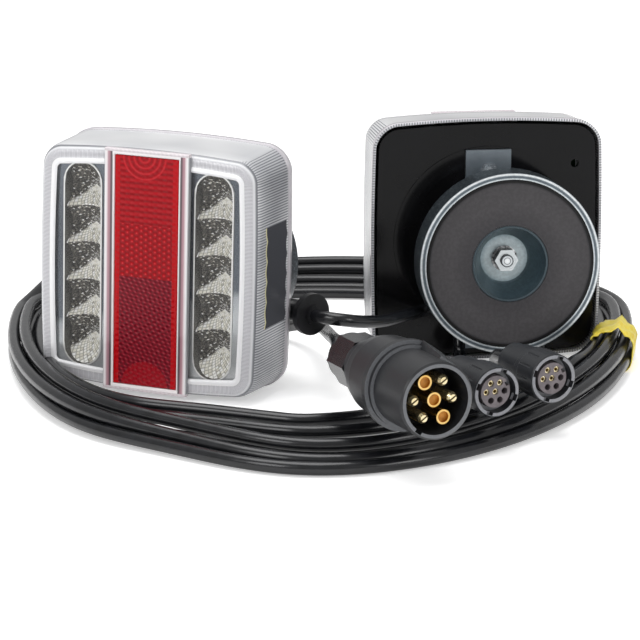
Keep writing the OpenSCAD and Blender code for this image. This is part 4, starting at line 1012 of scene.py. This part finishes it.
# Uncoiled stretches, from each exit to the coil
plug_lead_route = [(10.1, -118, 36), (7.4, -112, 36), (5.2, -101, 35.8), (4.6, -87, 34.4), (4.2, -73, 32),
    (3.8, -58, 29.2), (3.2, -44, 26.4), (2.4, -31, 24), (1, -17, 22.2), (-1, -2, 20.6), (-3.5, 12, 19),
    (-6, 26, 17), (-10, 40, 13.5), (-16, 53, 9.5), (-25, 65, 5.5), (-37, 74, 3.5), (-51, 82, 3.2),
    (-65, 90, 3.2), (-79, 99, 3.5), (-92, 109, 6), (-104, 120, 12), (-114, 129, 18), (-127, 132, 20)]
main_lamp_route = [(-89.2, 0.8, 31.3), (-89.4, 1, 22), (-89.9, 3, 13), (-91, 8.5, 6.2), (-93.8, 18, 3.4),
    (-99, 30, 3.2), (-106.5, 42, 3.2), (-117, 53, 3.6), (-130, 61.5, 5), (-140, 68, 6.5)]
link_a_lamp_route = [(-5.5, -38.1, 35.8), (-2.5, -41.8, 35.9), (2.2, -44.9, 35.8), (8.5, -45.2, 35.1),
    (14.5, -41.5, 33.6), (21, -33.8, 31.7), (27.5, -24, 30), (33.5, -13.8, 29.1), (38.4, -4.8, 28.3),
    (42.4, 3, 27.4), (46.4, 9.4, 27.2), (51.3, 12.7, 28.4), (56.5, 13.9, 29.8), (60.6, 14.5, 29.2),
    (63.2, 14.9, 26), (64.1, 15, 20.8), (64.2, 14.9, 15.5), (64.2, 13.8, 10.3), (64.3, 10, 5.4),
    (64.8, 3, 3.3), (66, -7, 3.2), (69.5, -19, 3.2), (77, -31, 3.2), (87, -39, 3.4), (98, -45, 6),
    (106, -54, 11)]
link_a_plug_route = [(56.9, -112, 27), (54, -105.8, 27), (51, -97, 25.5), (50.5, -89, 20.5), (54, -82, 14),
    (61, -78.5, 9), (71, -78, 6.5), (82, -80, 6), (92.5, -79, 7), (101, -69, 9)]
link_b_lamp_route = [(102.4, 19.4, 30.4), (102.5, 19.2, 21), (102.8, 17.4, 12), (103.5, 13, 6),
    (105, 5, 3.3), (108.5, -5, 3.2), (113.7, -14, 3.6), (117, -30, 5)]
link_b_plug_route = [(82.9, -89, 27), (79.9, -82.6, 27), (77, -74, 25.5), (77.5, -67, 20.5), (83, -62, 15),
    (91, -60.5, 11), (100, -62, 8.5), (111, -58.5, 8.5), (117.5, -44, 8)]

# Black PVC sheath, extruded: glossy black with grey dust marks and faint long waves along its skin
sheath, tree, shader = new_material("black PVC sheath", "#232427", IOR=1.52)
grain = grain_of(tree, 6.25, 3)
tone = add(tree, "ValToRGB", links={"Fac": grain}, stops=[(0.3, "#0f1012"), (0.7, "#1b1c20")])
rough = add(tree, "MapRange", values={"To Min": 0.17, "To Max": 0.3}, links={"Value": grain})
relief = add(tree, "Bump", values={"Strength": 0.15, "Distance": 0.4 * MM}, links={"Height": grain})
feed(shader, Base_Color=tone, Roughness=rough, Normal=relief)


def lead(name, route, far_end, on_it, *solids):
    """Smooth round cable that leaves the object at its first point and hides the solids it stands for;
    far_end and on_it are not used
    """
    data = bpy.data.curves.new(name, "CURVE")
    data.dimensions = "3D"
    data.bevel_depth = CABLE_D / 2 * MM
    data.bevel_resolution = 3
    data.resolution_u = 4
    data.use_fill_caps = True
    spline = data.splines.new("BEZIER")
    spline.bezier_points.add(len(route) - 1)
    for point, place in zip(spline.bezier_points, route):
        point.co = Vector(place) * MM
        point.handle_left_type = point.handle_right_type = "AUTO"
    data.materials.append(sheath)
    made = bpy.data.objects.new(name, data)
    bpy.context.scene.collection.objects.link(made)
    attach(made, "kit")
    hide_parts(*solids)
    bpy.context.view_layer.update()


lead("main_lead", plug_lead_route + coil_route(turns["main"]) + main_lamp_route[::-1], "object", plug_pieces,
     "plug_lead", "main_lamp_lead", "cable_coil")
for name, start, end in (("link_a", link_a_lamp_route, link_a_plug_route),
                         ("link_b", link_b_lamp_route, link_b_plug_route)):
    coupling_pieces = [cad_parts[f"coupling_{name[-1]}_{part}"]
                       for part in ("barrel", "insert", "contacts", "ring", "cap")]
    lead(name + "_lead", start + coil_route(turns[name]) + end[::-1], "connector", coupling_pieces,
         name + "_lamp_lead", name + "_plug_lead")

# Coil strap: a band of yellow polythene film that draws the turns together at the right, wrapped tight
# under them and crumpled on top
TIE_ANGLE, TIE_W, FILM = 345, 25, 0.45
TIE_MIDDLE, TIE_REACH = 9.1, 9.9
TIE_Z, TIE_RISE = 9.0, 9.6
# A power below one squares off the loop that the film makes round the turns
TIE_SQUARE = 0.62
FOLD_AT, FOLD_SPAN, FOLD_RISE = 6.5, 1.8, 2.6
tie_mesh = bmesh.new()
bmesh.ops.create_grid(tie_mesh, x_segments=44, y_segments=8, size=0.5)
tie_out = -coil_inward(TIE_ANGLE)
tie_run = Vector((-tie_out.y, tie_out.x))
for v in tie_mesh.verts:
    turn = (v.co.x + 0.5) * 2 * math.pi
    along = v.co.y * TIE_W
    c, s = math.cos(turn), math.sin(turn)
    crumple = 0.5 * math.sin(5 * turn + along * 0.5) + 0.35 * math.sin(11 * turn - along)
    crumple = crumple if s > 0 else 0.1 * crumple
    inward = TIE_MIDDLE - (TIE_REACH + crumple) * math.copysign(abs(c) ** TIE_SQUARE, c)
    height = max(TIE_Z + (TIE_RISE + crumple) * math.copysign(abs(s) ** TIE_SQUARE, s), 0.35)
    height += FOLD_RISE * math.exp(-((inward - FOLD_AT) / FOLD_SPAN) ** 2) * (s > 0)
    along += 1.1 * math.sin(2 * turn + 0.6)
    place = coil_point(TIE_ANGLE) - tie_out * inward + tie_run * along
    v.co = (place.x * MM, place.y * MM, height * MM)
bmesh.ops.remove_doubles(tie_mesh, verts=tie_mesh.verts, dist=0.05 * MM)
bmesh.ops.recalc_face_normals(tie_mesh, faces=tie_mesh.faces)
bmesh.ops.solidify(tie_mesh, geom=tie_mesh.faces, thickness=-FILM * MM)
# Polythene film: thin, yellow and shiny, with small creases that catch the light
film, tree, shader = new_material("yellow polythene film", "#f6e03c", Roughness=0.34)
crease = grain_of(tree, 3.85, 2)
tone = add(tree, "ValToRGB", links={"Fac": crease}, stops=[(0.3, "#f3d531"), (0.7, "#fff071")])
relief = add(tree, "Bump", values={"Strength": 0.5, "Distance": 0.8 * MM}, links={"Height": crease})
feed(shader, Base_Color=tone, Normal=relief)
piece("coil_strap", tie_mesh, "yellow_tie", film, replaces=["coil_tie"])
